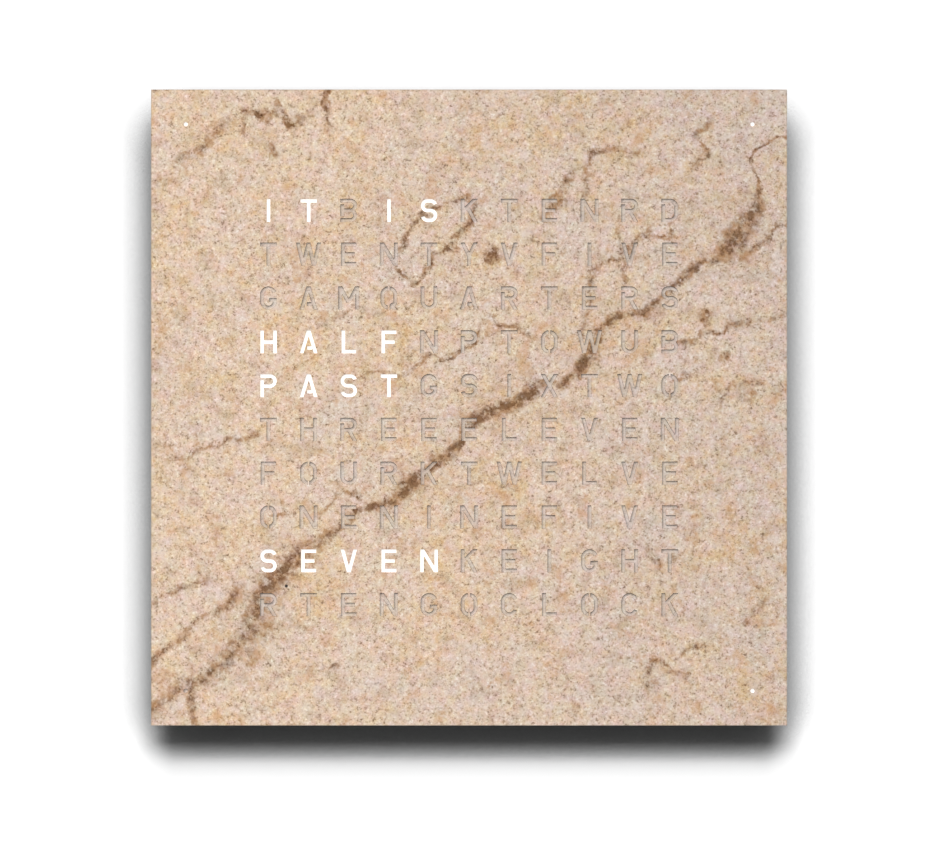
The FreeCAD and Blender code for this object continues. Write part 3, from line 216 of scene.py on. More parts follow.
class Mixer:
    """Joins the nodes of a finish or of the surround.  Sizes are real sizes, in metres."""

    def __init__(self, tree):
        self.tree = tree
        self.place = None

    def add(self, kind, **settings):
        node = self.tree.nodes.new(kind)
        for name, value in settings.items():
            setattr(node, name, value)
        return node

    def feed(self, socket, value):
        if isinstance(value, bpy.types.NodeSocket):
            self.tree.links.new(value, socket)
        elif value is not None:
            socket.default_value = value

    def fed(self, kind, *values, **settings):
        """The outputs of a new node whose first inputs take the values in turn."""
        node = self.add(kind, **settings)
        for socket, value in zip(node.inputs, values):
            self.feed(socket, value)
        return node.outputs

    def math(self, operation, *values, clamp=False):
        return self.fed("ShaderNodeMath", *values, operation=operation, use_clamp=clamp)[0]

    def times(self, *values, clamp=False):
        return self.math("MULTIPLY", *values, clamp=clamp)

    def times_plus(self, first, second, added, clamp=False):
        return self.math("MULTIPLY_ADD", first, second, added, clamp=clamp)

    def weighed(self, total, *shares):
        """A total with a share of each value added to it."""
        for value, share in shares:
            total = self.times_plus(value, share, total)
        return total

    def vector(self, operation, *values):
        outputs = self.fed("ShaderNodeVectorMath", *values, operation=operation)
        return outputs["Value" if operation in ("DOT_PRODUCT", "DISTANCE") else "Vector"]

    def split(self, vector):
        return self.fed("ShaderNodeSeparateXYZ", vector)

    def joined(self, *parts):
        return self.fed("ShaderNodeCombineXYZ", *parts)[0]

    def channels(self, colour):
        return self.fed("ShaderNodeSeparateColor", colour)

    def texture(self, kind, size, place=None, **settings):
        node = self.add(kind, **settings)
        self.feed(node.inputs["Vector"], place or self.place)
        node.inputs["Scale"].default_value = 1 / size
        return node

    def noise(self, size, detail=2.0, rough=0.5, place=None):
        node = self.texture("ShaderNodeTexNoise", size, place)
        node.inputs["Detail"].default_value = detail
        node.inputs["Roughness"].default_value = rough
        return node.outputs

    def cloud(self, size, detail=2.0, rough=0.5, place=None):
        return self.noise(size, detail, rough, place)["Fac"]

    def cells(self, size, place=None):
        return self.texture("ShaderNodeTexVoronoi", size, place).outputs

    def ridges(self, width, waver=0.0):
        """Ridges side by side along X."""
        node = self.texture("ShaderNodeTexWave", width, wave_type="BANDS",
                            bands_direction="X")
        node.inputs["Distortion"].default_value = waver
        return node.outputs["Fac"]

    def stretched(self, across, along, up):
        """The place on the piece, with each direction drawn out by its own factor."""
        node = self.add("ShaderNodeMapping", vector_type="POINT")
        self.feed(node.inputs["Vector"], self.place)
        node.inputs["Scale"].default_value = (1 / across, 1 / along, 1 / up)
        return node.outputs[0]

    def spread(self, value, low, high, to_low=0.0, to_high=1.0):
        return self.fed("ShaderNodeMapRange", value, low, high, to_low, to_high)[0]

    def varied(self, cloud, low=0.0, high=1.0):
        return self.spread(cloud, *CLOUD_RANGE, low, high)

    def ramp(self, value, stops):
        node = self.add("ShaderNodeValToRGB")
        bar = node.color_ramp.elements
        while len(bar) < len(stops):
            bar.new(0.5)
        for element, (position, colour) in zip(bar, stops):
            element.position = position
            element.color = colour
        self.feed(node.inputs[0], value)
        return node.outputs[0]

    def mix(self, amount, first, second, how="MIX"):
        node = self.add("ShaderNodeMix", data_type="RGBA", blend_type=how)
        for index, value in ((0, amount), (6, first), (7, second)):
            self.feed(node.inputs[index], value)
        return node.outputs[2]

    def tinted(self, colour, tint):
        return self.mix(1.0, colour, tint, "MULTIPLY")

    def openness(self, reach, lean, samples):
        """1 in the open, and less where a shape within reach stands on the side of the lean."""
        node = self.add("ShaderNodeAmbientOcclusion", samples=samples)
        node.inputs["Distance"].default_value = reach
        self.feed(node.inputs["Normal"], self.joined(*lean))
        return node.outputs["AO"]

    def worn_edge(self, width):
        """1 on edges that a hand or a cloth rubs and 0 on flat faces; and the soft normal."""
        rounded = self.add("ShaderNodeBevel", samples=4)
        rounded.inputs["Radius"].default_value = width
        flat = self.add("ShaderNodeNewGeometry").outputs["True Normal"]
        turn = self.vector("DOT_PRODUCT", rounded.outputs[0], flat)
        return self.spread(turn, *EDGE_TURN), rounded.outputs[0]


class Recipe(Mixer):
    """A material being mixed, on the piece's own coordinates."""

    def __init__(self, name, metallic=0.0, specular=0.5):
        self.material = bpy.data.materials.new(name)
        self.material.use_nodes = True
        super().__init__(self.material.node_tree)
        self.shader = self.tree.nodes["Principled BSDF"].inputs
        self.shader["Metallic"].default_value = metallic
        self.shader["Specular IOR Level"].default_value = specular
        self.place = self.add("ShaderNodeTexCoord").outputs["Object"]

    def set(self, name, value):
        self.feed(self.shader[name], value)

    def finished(self, colour, roughness, height, depth, normal=None):
        """The material, with its colour, its roughness and a relief of some depth."""
        self.set("Base Color", colour)
        self.set("Roughness", roughness)
        relief = self.add("ShaderNodeBump")
        relief.inputs["Distance"].default_value = depth
        self.feed(relief.inputs["Height"], height)
        self.feed(relief.inputs["Normal"], normal)
        self.set("Normal", relief.outputs[0])
        return self.material


def opaque(colour):
    return (*colour[:3], 1.0)


def shaded(colour, share):
    """The same colour, darker below 1 and paler above."""
    return tuple(min(1.0, channel * share) for channel in colour[:3]) + (1.0,)


def shaded_towards(colour, share):
    """What light is left when a share of the way from white to a colour is taken."""
    return tuple(1 - share * (1 - channel) for channel in colour[:3]) + (1.0,)


# ---------------------------------------------------------------------------------------
# The stone
# ---------------------------------------------------------------------------------------
# A vein fades out at this many half widths from its line, and its aura further out.
MAIN_SKIRT, FINE_SKIRT, AURA_SKIRT = 2.5, 4.0, 7.5

# How far the veins stray from their lines in long bends and in crumbs, in millimetres, and
# the least half width, which keeps a vein's end from dividing by nothing.
BENDS, CRUMBS = 11, 2.9
LEAST_HALF = 0.01

# How much the halo of every vein and the aura of the main one add to the stain.
HALO_SHARE, AURA_SHARE = 0.24, 0.17

# Painted shade: a darker grey line along the stone's outer edge; where it starts and is full,
# inwards from the outer edge.
EDGE_SHADE_RIM = (0.7 * MM, 0.4 * MM)

# A vein is a line of (across, up, half width, darkness), in millimetres from the face's middle.
MAIN_VEIN = [
    (-236, -224, 5.5, 0.50), (-224, -215, 5.5, 0.52), (-216, -208, 5.5, 0.54),
    (-208, -201, 5.0, 0.58), (-202, -195, 4.5, 0.68), (-196, -193.5, 4.0, 0.70),
    (-189, -193, 4.5, 0.62), (-182, -188, 5.5, 0.66), (-172, -179, 6.0, 0.70),
    (-165, -168, 5.5, 0.58), (-158, -161, 7.0, 0.60), (-153, -151, 8.5, 0.68),
    (-149, -138, 8.5, 0.78), (-144, -129, 8.0, 0.88), (-137, -121, 8.5, 0.94),
    (-130, -114, 9.0, 0.82), (-121, -106, 9.5, 0.68), (-111, -98, 6.5, 0.56),
    (-103, -95, 5.0, 0.56), (-96, -88, 3.8, 0.66), (-88, -82, 3.0, 0.66),
    (-82, -76, 3.0, 0.85), (-75, -73, 3.0, 1.00), (-67, -70, 3.2, 1.00),
    (-58, -68, 3.6, 0.95), (-48, -61, 5.5, 0.95), (-42, -53, 7.0, 1.00),
    (-32, -46, 5.0, 1.00), (-22, -37, 4.5, 0.95), (-12, -30, 4.0, 1.00),
    (-5, -22, 3.6, 1.00), (0, -12, 4.0, 0.90), (6, -7, 4.5, 1.00), (18, -1, 6.0, 1.00),
    (34, 3.5, 5.5, 1.00), (43, 10, 6.0, 0.95), (51, 16, 5.0, 0.80), (58, 17, 3.6, 0.70),
    (67, 17, 3.6, 0.75), (77, 24, 4.2, 0.85), (83, 34, 5.0, 0.95), (87, 41, 5.0, 0.90),
    (92, 50, 4.5, 0.90), (95, 57, 4.0, 0.85), (106, 64, 3.0, 0.80), (122, 67, 3.0, 0.80),
    (132, 73, 3.6, 0.85), (139, 81, 3.0, 0.85), (149, 89, 3.4, 0.75), (156, 97, 4.2, 0.80),
    (168, 103, 2.4, 0.70), (178, 107, 5.0, 0.70), (186, 115, 10.5, 0.80),
    (191, 122, 9.5, 0.90), (198, 133, 8.0, 0.90), (205, 145, 6.0, 0.80),
    (206, 155, 2.0, 0.75), (203, 165, 1.6, 0.70), (200, 174, 1.6, 0.75),
    (206, 184, 1.5, 0.70), (213, 189, 1.4, 0.65), (225, 191, 1.3, 0.60),
    (240, 193, 1.3, 0.60),
]

# A single dark nodule: across and up from the face's middle, and radius.
NODULE = (-129.3 * MM, -126.3 * MM, 1.1 * MM)

FINE_VEINS = {
    "top left": [
        (-210, 171, 2.5, 0), (-206, 175, 3, .35), (-198, 181, 3, .45), (-192, 181, 3, .55),
        (-186, 187, 3, .50), (-178, 198, 3.5, .70), (-171, 201, 3, .40), (-165, 205, 2, 0)],
    "top bow": [
        (-161, 192, 2, 0), (-159, 199, 2, .60), (-156, 211, 2, .65), (-148, 206, 2.6, .85),
        (-140, 208, 2.6, .85), (-136, 211, 2.6, .60), (-130, 204, 3.4, .75),
        (-124, 200, 2.6, .70), (-117, 204, 2.4, .60), (-112, 207, 2, 0)],
    "top notch": [
        (-98, 236, 1.6, .6), (-99, 225, 1.6, .85), (-102, 219, 2, .70), (-100, 211, 1.8, .75),
        (-100, 206, 1.6, .80), (-98, 198, 1.8, .30), (-96, 192, 1.6, 0)],
    "under the bow": [
        (-140, 190, 2, 0), (-139, 186, 2, .45), (-138, 180, 2, .50), (-137, 175, 2, 0)],
    "upper loop, left": [
        (-49, 108, 1.2, 0), (-48, 112, 1.3, .60), (-44, 122, 1.4, .60), (-37, 132, 1.2, .60),
        (-30, 140, 1.4, .50), (-24, 142, 1.5, .65), (-18, 144, 1.6, .60), (-11, 145, 1.5, .65),
        (-1, 149, 1.2, .65), (3, 151, 1.2, 0)],
    "upper loop, right": [
        (-56, 101, 1.2, 0), (-51, 98, 1.6, .55), (-47, 95, 1.8, .60), (-41, 89, 1.4, .60),
        (-37, 90, 1.4, .65), (-28, 99, 1.9, .80), (-24, 108, 1.4, .65), (-19, 110, 1.6, .75),
        (-13, 113, 3, .85), (-9, 122, 1.8, .75), (0, 131, 2, .85), (3, 141, 2.4, .60),
        (5, 148, 1.6, 0)],
    "long crack": [
        (-90, 16, 1, 0), (-83, 18, 1.2, .35), (-76, 21, 1.1, .40), (-68, 25, 1, .30),
        (-60, 24, 1, .30), (-52, 22, 1.1, .45), (-41, 25, 1.1, .55), (-34, 30, 1.1, .60),
        (-28, 37, 1.3, .60), (-18, 33, 1.1, .65), (-9, 39, 1.2, .65), (1, 44, 1.3, .65),
        (6, 50, 1.4, .55), (9, 57, 1.3, .50), (12, 64, 1.2, 0)],
    "crack, right end": [
        (10, 66, 1, 0), (17, 64, 1.2, .45), (21, 58, 1.4, .50), (32, 58, 1.4, .55),
        (41, 51, 1.5, .55), (46, 48, 1.2, 0)],
    "left crumb": [
        (-108, 52, 1.5, 0), (-104, 57, 1.6, .40), (-96, 62, 1.2, .25), (-88, 66, 2, .55),
        (-83, 68, 1.4, 0)],
    "upper middle, left": [
        (52, 128, 2, 0), (55, 136, 3, .60), (60, 143, 2.8, .70), (64, 150, 2.2, .70),
        (67, 157, 2, .60), (72, 166, 1.6, .50), (76, 173, 1.4, 0)],
    "upper middle, right": [
        (80, 149, 2, 0), (82, 154, 2.2, .60), (83, 164, 2.4, .65), (86, 172, 1.8, .55),
        (87, 179, 1.8, .65), (95, 181, 2.2, .45), (107, 183, 2, .35), (119, 181, 2, .35),
        (126, 183, 1.6, 0)],
    "upper right": [
        (158, 168, 2, 0), (160, 172, 2.2, .40), (168, 181, 2.6, .60), (161, 191, 2, .45),
        (170, 202, 1.8, .35), (172, 207, 1.5, 0)],
    "dark chip": [
        (10, 103, 2, 0), (12, 105, 3, .80), (17, 108, 5, .90), (22, 110, 3.5, .70),
        (26, 112, 2, 0)],
    "right loop, low": [
        (78, 50, 1.4, 0), (81, 57, 1.5, .55), (85, 69, 1.5, .55), (86, 78, 1.4, .50),
        (86, 93, 1.8, .65), (90, 100, 1.8, .70), (96, 103, 1.4, .65), (106, 105, 1.4, .60),
        (113, 109, 2.2, .60), (119, 119, 1.4, .60), (126, 122, 1.6, .65), (134, 123, 1.4, .60),
        (141, 120, 1.6, .45), (144, 130, 1.5, .55), (146, 137, 1.5, 0)],
    "right loop, inner": [
        (109, 82, 1.4, 0), (109, 88, 1.5, .40), (110, 99, 1.4, .50), (107, 110, 1.6, .55),
        (106, 120, 1.2, .40), (107, 130, 1.4, .50), (107, 138, 1.2, 0)],
    "right chip": [(164, 58, 2, 0), (166, 62, 3, .65), (168, 66, 3, .75), (171, 71, 2, 0)],
    "right crack": [
        (146, 44, 1.4, 0), (151, 46, 1.5, .50), (160, 47, 1.3, .45), (165, 54, 1.8, .60),
        (171, 53, 1.4, .55), (177, 53, 1.4, .55), (184, 58, 1.6, .50), (197, 60, 2.4, .50),
        (206, 60, 1.6, .35), (216, 64, 1.6, .45), (230, 67, 1.6, .40)],
    "right stub": [
        (142, 18, 1.2, 0), (146, 20, 1.4, .55), (153, 22, 1.4, .60), (160, 24, 1.3, .35),
        (166, 25, 1.2, 0)],
    "right low crack": [
        (176, -2, 1.2, 0), (179, 5, 1.2, .45), (182, 10, 1.3, .45), (187, 15, 1.4, .45),
        (193, 18, 1.5, .45), (204, 18, 2.2, .50), (210, 16, 1.4, 0)],
    "right low speck": [
        (196, 3, 2, 0), (198, 6, 2.4, .50), (200, 10, 2.4, .45), (201, 14, 2, 0)],
    "right speck": [
        (176, 34, 2, 0), (179, 35, 2.6, .55), (182, 36, 2.4, .50), (185, 37, 2, 0)],
    "patch, right side": [
        (195, 106, 2, .30), (200, 111, 2.4, .60), (207, 116, 1.6, .70), (213, 119, 1.6, .70),
        (216, 127, 1.5, .60), (224, 130, 1.4, .50), (236, 132, 1.4, .50)],
    "left border": [
        (-236, -190, 2.4, .5), (-224, -179, 2.4, .65), (-217, -172, 2, .60),
        (-207, -166, 1.8, .60), (-201, -161, 2.2, .55), (-194, -152, 2.2, .50),
        (-187, -146, 2.2, .30), (-181, -146, 2, .30), (-177, -145, 3, .65),
        (-168, -136, 2.6, .60), (-163, -127, 3, .45), (-160, -120, 2, 0)],
    "left border, upper": [
        (-236, -145, 1.5, .4), (-223, -138, 1.5, .45), (-214, -133, 1.5, .50),
        (-204, -129, 1.6, .55), (-197, -126, 1.5, .50), (-184, -124, 1.5, .40),
        (-176, -123, 1.4, 0)],
    "left middle": [
        (-215, -40, 1.2, 0), (-210, -37, 1.5, .45), (-198, -35, 1.4, .55),
        (-192, -30, 1.5, .65), (-182, -28, 1.5, .55), (-171, -23, 1.5, .55),
        (-161, -22, 1.5, .40), (-153, -19, 2, .55), (-147, -17, 1.4, 0)],
    "left crumbs": [
        (-141, -78, 1.2, 0), (-136, -77, 1.4, .45), (-126, -75, 1.4, .45),
        (-121, -74, 1.2, 0)],
    "over the vein": [
        (-110, -80, 1.2, 0), (-104, -75, 1.4, .40), (-99, -68, 1.3, .45), (-91, -61, 1.5, .50),
        (-81, -61, 1.6, .55), (-76, -65, 1.8, .50), (-71, -70, 1.4, 0)],
    "below the vein": [
        (-197, -190, 2, .30), (-197, -201, 2.4, .55), (-196, -208, 2.6, .60),
        (-195, -217, 2.4, .50), (-194, -226, 2.4, .55), (-192, -238, 2, .5)],
    "vein shoulder": [
        (-152, -142, 3, 0), (-148, -152, 6, .42), (-143, -158, 6, .46), (-139, -168, 3, 0)],
    "vein foot": [
        (-163, -158, 3, 0), (-160, -168, 6, .34), (-156, -178, 5, .36), (-152, -186, 3, 0)],
    "bottom right": [
        (119, -200, 2, 0), (123, -195, 3, .50), (125, -190, 2.6, .60), (127, -187, 2.2, .55),
        (131, -181, 2.6, .75), (137, -182, 1.8, .60), (142, -184, 1.4, 0)],
    "bottom right patch": [
        (121, -199, 3, 0), (126, -197, 5, .35), (131, -195, 4, .30), (136, -192, 3, 0)],
    "bottom right, side": [
        (133, -189, 1.4, 0), (139, -188, 1.5, .35), (146, -188, 1.4, .40),
        (152, -188, 1.5, .35), (158, -187, 1.3, 0)],
    "bottom right, upper": [
        (147, -181, 1.4, 0), (151, -176, 1.5, .45), (156, -172, 1.4, .50),
        (164, -169, 1.4, .50), (170, -168, 1.2, 0)],
    "low right": [
        (187, -157, 1.5, 0), (191, -155, 1.6, .35), (198, -151, 1.7, .45), (203, -143, 2, .60),
        (208, -138, 1.8, .45), (213, -134, 1.5, 0)],
    "low specks": [
        (-99, -186, 1.5, 0), (-96, -184, 2.0, 0.65), (-94, -182, 2.0, 0.60),
        (-91, -180, 1.5, 0)],
    "row nine, left": [
        (125, -98, 1.6, 0), (128, -103, 2, .60), (131, -106, 2, .65), (134, -109, 1.8, .50),
        (137, -112, 1.4, 0)],
    "row nine, right": [
        (137, -105, 1.5, 0), (141, -106, 2, .55), (145, -106, 2, .60), (149, -105, 1.8, .50),
        (154, -104, 1.4, 0)],
}


def stations(line, along, across, length):
    """The distance across, the half width square to the line and the darkness at each point."""
    last = len(line) - 1
    for index, (_, _, half, darkness) in enumerate(line):
        near, far = max(0, index - 1), min(last, index + 1)
        rise = (across[far] - across[near]) / ((along[far] - along[near]) * length)
        yield across[index], half * math.sqrt(1 + rise * rise), darkness


def draw_curve(curve, along, heights):
    last = len(along) - 1
    for index, spot in enumerate(zip(along, heights)):
        if index in (0, last):
            point = curve.points[0 if index == 0 else -1]
            point.location = spot
        else:
            point = curve.points.new(*spot)
        point.handle_type = "AUTO_CLAMPED"


def vein_mask(recipe, place, line, skirt):
    """How much of a vein lies at a place: its darkness on its line, fading to 0 where the
    distance is skirt times its half width."""
    points = [Vector((x, up)) for x, up, _, _ in line]
    start, run = points[0], points[-1] - points[0]
    length = run.length
    forward = run.normalized()
    sideways = Vector((-forward.y, forward.x))
    along = [(point - start).dot(forward) / length for point in points]
    if any(b <= a for a, b in zip(along, along[1:])):
        raise RuntimeError(f"a vein turns back on itself near {start}")
    across = [(point - start).dot(sideways) for point in points]
    reach = max(abs(distance) for distance in across) or 1.0
    widest = max(half for _, _, half, _ in line) * 2

    turn = recipe.add("ShaderNodeMapping", vector_type="POINT")
    turn.inputs["Rotation"].default_value = (0, 0, -math.atan2(forward.y, forward.x))
    turn.inputs["Location"].default_value = (-start.dot(forward), -start.dot(sideways), 0)
    recipe.feed(turn.inputs["Vector"], place)
    there = recipe.split(turn.outputs[0])
    share = recipe.math("DIVIDE", there[0], length)

    # The three curves of one node hold the line, the half width and the darkness, from 0 to 1.
    grey = recipe.fed("ShaderNodeCombineColor", share, share, share)[0]
    curves = recipe.add("ShaderNodeRGBCurve")
    recipe.feed(curves.inputs["Color"], grey)
    drawn = [((distance / reach + 1) / 2, half / (2 * widest), darkness)
             for distance, half, darkness in stations(line, along, across, length)]
    for curve, heights in zip(curves.mapping.curves, zip(*drawn)):
        draw_curve(curve, along, heights)
    curves.mapping.update()
    read = recipe.channels(curves.outputs[0])
    middle = recipe.times_plus(read[0], 2 * reach, -reach)
    gap = recipe.math("ABSOLUTE", recipe.math("SUBTRACT", there[1], middle))
    half = recipe.times_plus(read[1], skirt * widest, LEAST_HALF)
    nearness = recipe.math("SUBTRACT", 1.0, recipe.math("DIVIDE", gap, half), clamp=True)
    return recipe.times(nearness, read[2])


def lay_veins(recipe, grain):
    """How dark the veins are at a place, and the faint aura beside the main one."""
    def strays(size, detail, rough, distance):
        centred = recipe.vector("SUBTRACT", recipe.noise(size, detail, rough)["Color"],
                                (0.5, 0.5, 0.5))
        return recipe.vector("MULTIPLY", centred, (distance,) * 3)

    shift = recipe.vector("ADD", strays(6 * grain, 4, 0.6, BENDS),
                          strays(1.3 * grain, 1, 0.5, CRUMBS))
    centred = recipe.vector("SUBTRACT", recipe.place, tuple(FACE_MIDDLE))
    in_mm = recipe.vector("MULTIPLY", centred, (1 / MM,) * 3)
    there = recipe.split(recipe.vector("ADD", in_mm, shift))
    flat = recipe.joined(there[0], there[2])
    stain = vein_mask(recipe, flat, MAIN_VEIN, MAIN_SKIRT)
    for line in FINE_VEINS.values():
        stain = recipe.math("MAXIMUM", stain, vein_mask(recipe, flat, line, FINE_SKIRT))
    return stain, vein_mask(recipe, flat, MAIN_VEIN, AURA_SKIRT)


def tint_sand(recipe, colour, coarse, blotch, grain):
    """Patches of ochre, blush and grey over the sand, cooler towards one side."""
    hue = recipe.weighed(0.015, (blotch[0], 0.52), (recipe.cloud(26 * grain, 3, 0.55), 0.40),
                         (coarse[1], 0.05))
    colour = recipe.tinted(colour, recipe.ramp(hue, [
        (0.34, (0.93, 0.95, 1.0, 1)), (0.45, (0.98, 0.965, 0.955, 1)),
        (0.54, (1.0, 0.945, 0.84, 1)), (0.63, (0.98, 0.85, 0.62, 1)),
        (0.72, (0.86, 0.68, 0.42, 1))]))
    blush = recipe.weighed(0.075, (blotch[1], 0.80), (coarse[1], 0.05))
    colour = recipe.tinted(colour, recipe.ramp(blush, [
        (0.36, (0.95, 1.0, 0.93, 1)), (0.49, (0.98, 0.985, 0.965, 1)),
        (0.62, (1.0, 0.94, 0.985, 1))]))
    side = recipe.spread(recipe.split(recipe.place)[0], -0.4 * FACE_HALF, FACE_HALF)
    broad = recipe.weighed(0.0, (side, 0.5), (recipe.cloud(80 * grain), 0.6))
    return recipe.tinted(colour, recipe.ramp(broad, [
        (0.22, (1.0, 1.0, 0.99, 1)), (0.80, (0.89, 0.915, 0.97, 1))]))


def mottle_sand(recipe, colour, grain):
    """Dull, pale and rusty mottles, and a scatter of dark and yellow specks."""
    mottles = recipe.channels(recipe.noise(9 * grain, 5, 0.62)["Color"])
    colour = recipe.tinted(colour, recipe.ramp(mottles[0], [
        (0.34, (0.82, 0.78, 0.73, 1)), (0.46, (0.97, 0.96, 0.945, 1)), (0.56, WHITE)]))
    colour = recipe.mix(recipe.spread(mottles[1], 0.55, 0.70, 0.0, 0.45), colour,
                        paint(222, 208, 203))
    colour = recipe.mix(recipe.spread(mottles[2], 0.57, 0.70, 0.0, 0.55), colour,
                        paint(188, 142, 98))
    specks = recipe.cells(2.2 * grain)
    kind = recipe.channels(specks["Color"])
    speck = recipe.times(recipe.math("GREATER_THAN", kind[0], 0.90),
                         recipe.spread(specks["Distance"], 0.32, 0.20))
    speck_colour = recipe.mix(kind[1], paint(118, 98, 78), paint(188, 158, 112))
    return recipe.mix(recipe.times(speck, 0.56), colour, speck_colour)


def stain_sand(recipe, colour, stain, aura, coarse, blotch, iron, grain, vein_share):
    """Iron in the veins, ragged where the grains take it, with a halo and rusty patches."""
    patchy = recipe.cloud(4.0 * grain, 4, 0.65)
    ragged = recipe.times(recipe.times_plus(coarse[2], 0.7, 0.65),
                          recipe.spread(patchy, 0.38, 0.60, 0.35, 1.45))
    amount = recipe.times(recipe.times(stain, ragged), vein_share, clamp=True)
    halo = recipe.times(recipe.spread(stain, 0.0, 0.35),
                        recipe.spread(patchy, 0.35, 0.65, 0.0, HALO_SHARE * vein_share))
    halo = recipe.times_plus(aura, AURA_SHARE * vein_share, halo)
    amount = recipe.times_plus(recipe.math("SUBTRACT", 1.0, amount), halo, amount, clamp=True)
    colour = recipe.tinted(colour, recipe.ramp(amount, [
        (0.0, WHITE), (0.25, shaded_towards(iron, 0.15)), (0.50, shaded_towards(iron, 0.46)),
        (0.75, shaded_towards(iron, 0.84)), (0.95, iron)]))
    rusty = recipe.times(recipe.spread(blotch[2], 0.42, 0.62), recipe.times(
        recipe.spread(amount, 0.06, 0.42, 0.0, 0.55),
        recipe.spread(amount, 0.60, 0.90, 1.0, 0.25)))
    return recipe.mix(rusty, colour, paint(172, 126, 80))


def stone_colour(recipe, stone, vein_share=1.0):
    """Sand grains of several tones, stained along the veins.  Returns colour and relief."""
    grain = stone.grain
    stain, aura = lay_veins(recipe, grain)
    coarse = recipe.channels(recipe.cells(grain)["Color"])
    fine = recipe.channels(recipe.cells(0.6 * grain)["Color"])
    clumps = recipe.cloud(2.4 * grain, 3, 0.62)
    tone = recipe.weighed(-0.23, (coarse[0], 0.22), (fine[0], 0.34), (clumps, 0.90))
    colour = recipe.ramp(tone, [
        (0.14, paint(134, 111, 92)), (0.28, paint(185, 161, 142)), (0.44, opaque(stone.sand)),
        (0.62, paint(222, 202, 186)), (0.82, opaque(stone.quartz))])
    blotch = recipe.channels(recipe.noise(5.5 * grain, 4, 0.62)["Color"])
    colour = tint_sand(recipe, colour, coarse, blotch, grain)
    colour = mottle_sand(recipe, colour, grain)
    colour = stain_sand(recipe, colour, stain, aura, coarse, blotch, opaque(stone.iron),
                        grain, vein_share)
    nodule = recipe.vector("DISTANCE", recipe.place, (NODULE[0], FACE_LOW.y,
                                                      FACE_MIDDLE.z + NODULE[1]))
    colour = recipe.mix(recipe.math("LESS_THAN", nodule, NODULE[2]), colour,
                        paint(52, 46, 42))
    relief = recipe.weighed(0.5, (recipe.cells(grain)["Distance"], -0.35), (clumps, 0.7))
    return colour, relief


def lay_stone(stone):
    recipe = Recipe("sandstone_veneer", specular=0.25)
    colour, relief = stone_colour(recipe, stone)
    sides = recipe.split(recipe.vector("ABSOLUTE", recipe.vector(
        "SUBTRACT", recipe.place, tuple(FACE_MIDDLE))))
    # Painted shade: a darker grey line along the face's outer edge.
    edge_shade = recipe.spread(recipe.math("MAXIMUM", sides[0], sides[2]),
                           *(FACE_HALF - inwards for inwards in EDGE_SHADE_RIM))
    colour = recipe.mix(recipe.times(edge_shade, 0.30), colour, paint(112, 112, 104))
    dull = recipe.cloud(2 * stone.grain)
    return recipe.finished(colour, recipe.varied(dull, 0.78, 0.94), relief, stone.relief)


# ---------------------------------------------------------------------------------------
# Opal plastic
# ---------------------------------------------------------------------------------------
# The opal's own part of its colour, and how much of the veins it takes over.
OPAL_GREY = 0.42
OPAL_VEINS = 0.35

# Painted shade: the opal's colour and glow are darkened where the stone's lip stands to the
# upper left, within this reach.
LIP_REACH = 1.8 * MM
LIP_LEAN = (-0.55, -0.55, 0.62)
LIP_SHADE = 0.48

# Half the width of the window round a corner dot.
DOT_WINDOW = 0.1


def inside_window(recipe, middle, half):
    """1 where the place lies within a window on the face, whatever its depth."""
    offset = recipe.vector("ABSOLUTE", recipe.vector("SUBTRACT", recipe.place, middle))
    share = recipe.split(recipe.vector("DIVIDE", offset, half))
    return recipe.math("LESS_THAN", recipe.math("MAXIMUM", share[0], share[2]), 1.0)


def lit_part(recipe, windows):
    total = 0.0
    for middle, half in windows:
        total = recipe.math("MAXIMUM", inside_window(recipe, middle, half), total)
    return total


def word_windows(names):
    for name in names:
        row, first, letters = WORDS[name]
        middle = first + (letters - 1) / 2 - (LETTER_COLUMNS - 1) / 2
        up = (LETTER_ROWS - 1) / 2 - row
        yield ((middle * PITCH_ACROSS, 0, FACE_MIDDLE.z + up * PITCH_DOWN),
               (letters * PITCH_ACROSS / 2, 1, PITCH_DOWN / 2))


def dot_windows(count):
    for x, z in DOT_CORNERS[:count]:
        yield (x * FACE_HALF, 0, FACE_MIDDLE.z + z * FACE_HALF), (DOT_WINDOW, 1, DOT_WINDOW)


def tinted_opal(name, stone, windows, glow):
    """Opal tinted to the stone's tone, so that an unlit letter nearly disappears in it, with
    painted shade along the stone's lip.
    """
    recipe = Recipe(name, specular=0.4)
    colour, _ = stone_colour(recipe, stone, OPAL_VEINS)
    colour = recipe.mix(OPAL_GREY, colour, paint(182, 176, 171))
    # Painted shade in the colour, and a dimmer glow, near the upper and left lip of each
    # opening.
    painted_lip_shade = recipe.spread(recipe.openness(LIP_REACH, LIP_LEAN, samples=8), 0.35, 0.90,
                          LIP_SHADE, 1.0)
    colour = recipe.tinted(colour, recipe.mix(painted_lip_shade, BLACK, WHITE))
    lit = lit_part(recipe, windows)
    milky = recipe.cloud(3 * MM)
    recipe.set("Emission Color", recipe.mix(milky, paint(255, 250, 244), WHITE))
    recipe.set("Emission Strength", recipe.times(lit, recipe.times(
        recipe.spread(painted_lip_shade, LIP_SHADE, 1.0, 0.70, 1.0), glow)))
    return recipe.finished(colour, recipe.varied(milky, 0.36, 0.5), recipe.cloud(1.2 * MM),
                           0.02 * MM)


def milk_opal():
    recipe = Recipe("opal_sheet")
    recipe.shader["Subsurface Weight"].default_value = 0.2
    recipe.shader["Subsurface Scale"].default_value = 1 * MM
    colour = recipe.ramp(recipe.cloud(20 * MM, 3), [
        (CLOUD_RANGE[0], paint(226, 227, 224)), (CLOUD_RANGE[1], paint(240, 240, 237))])
    satin = recipe.cloud(0.8 * MM)
    return recipe.finished(colour, recipe.varied(satin, 0.34, 0.5), satin, 0.01 * MM)


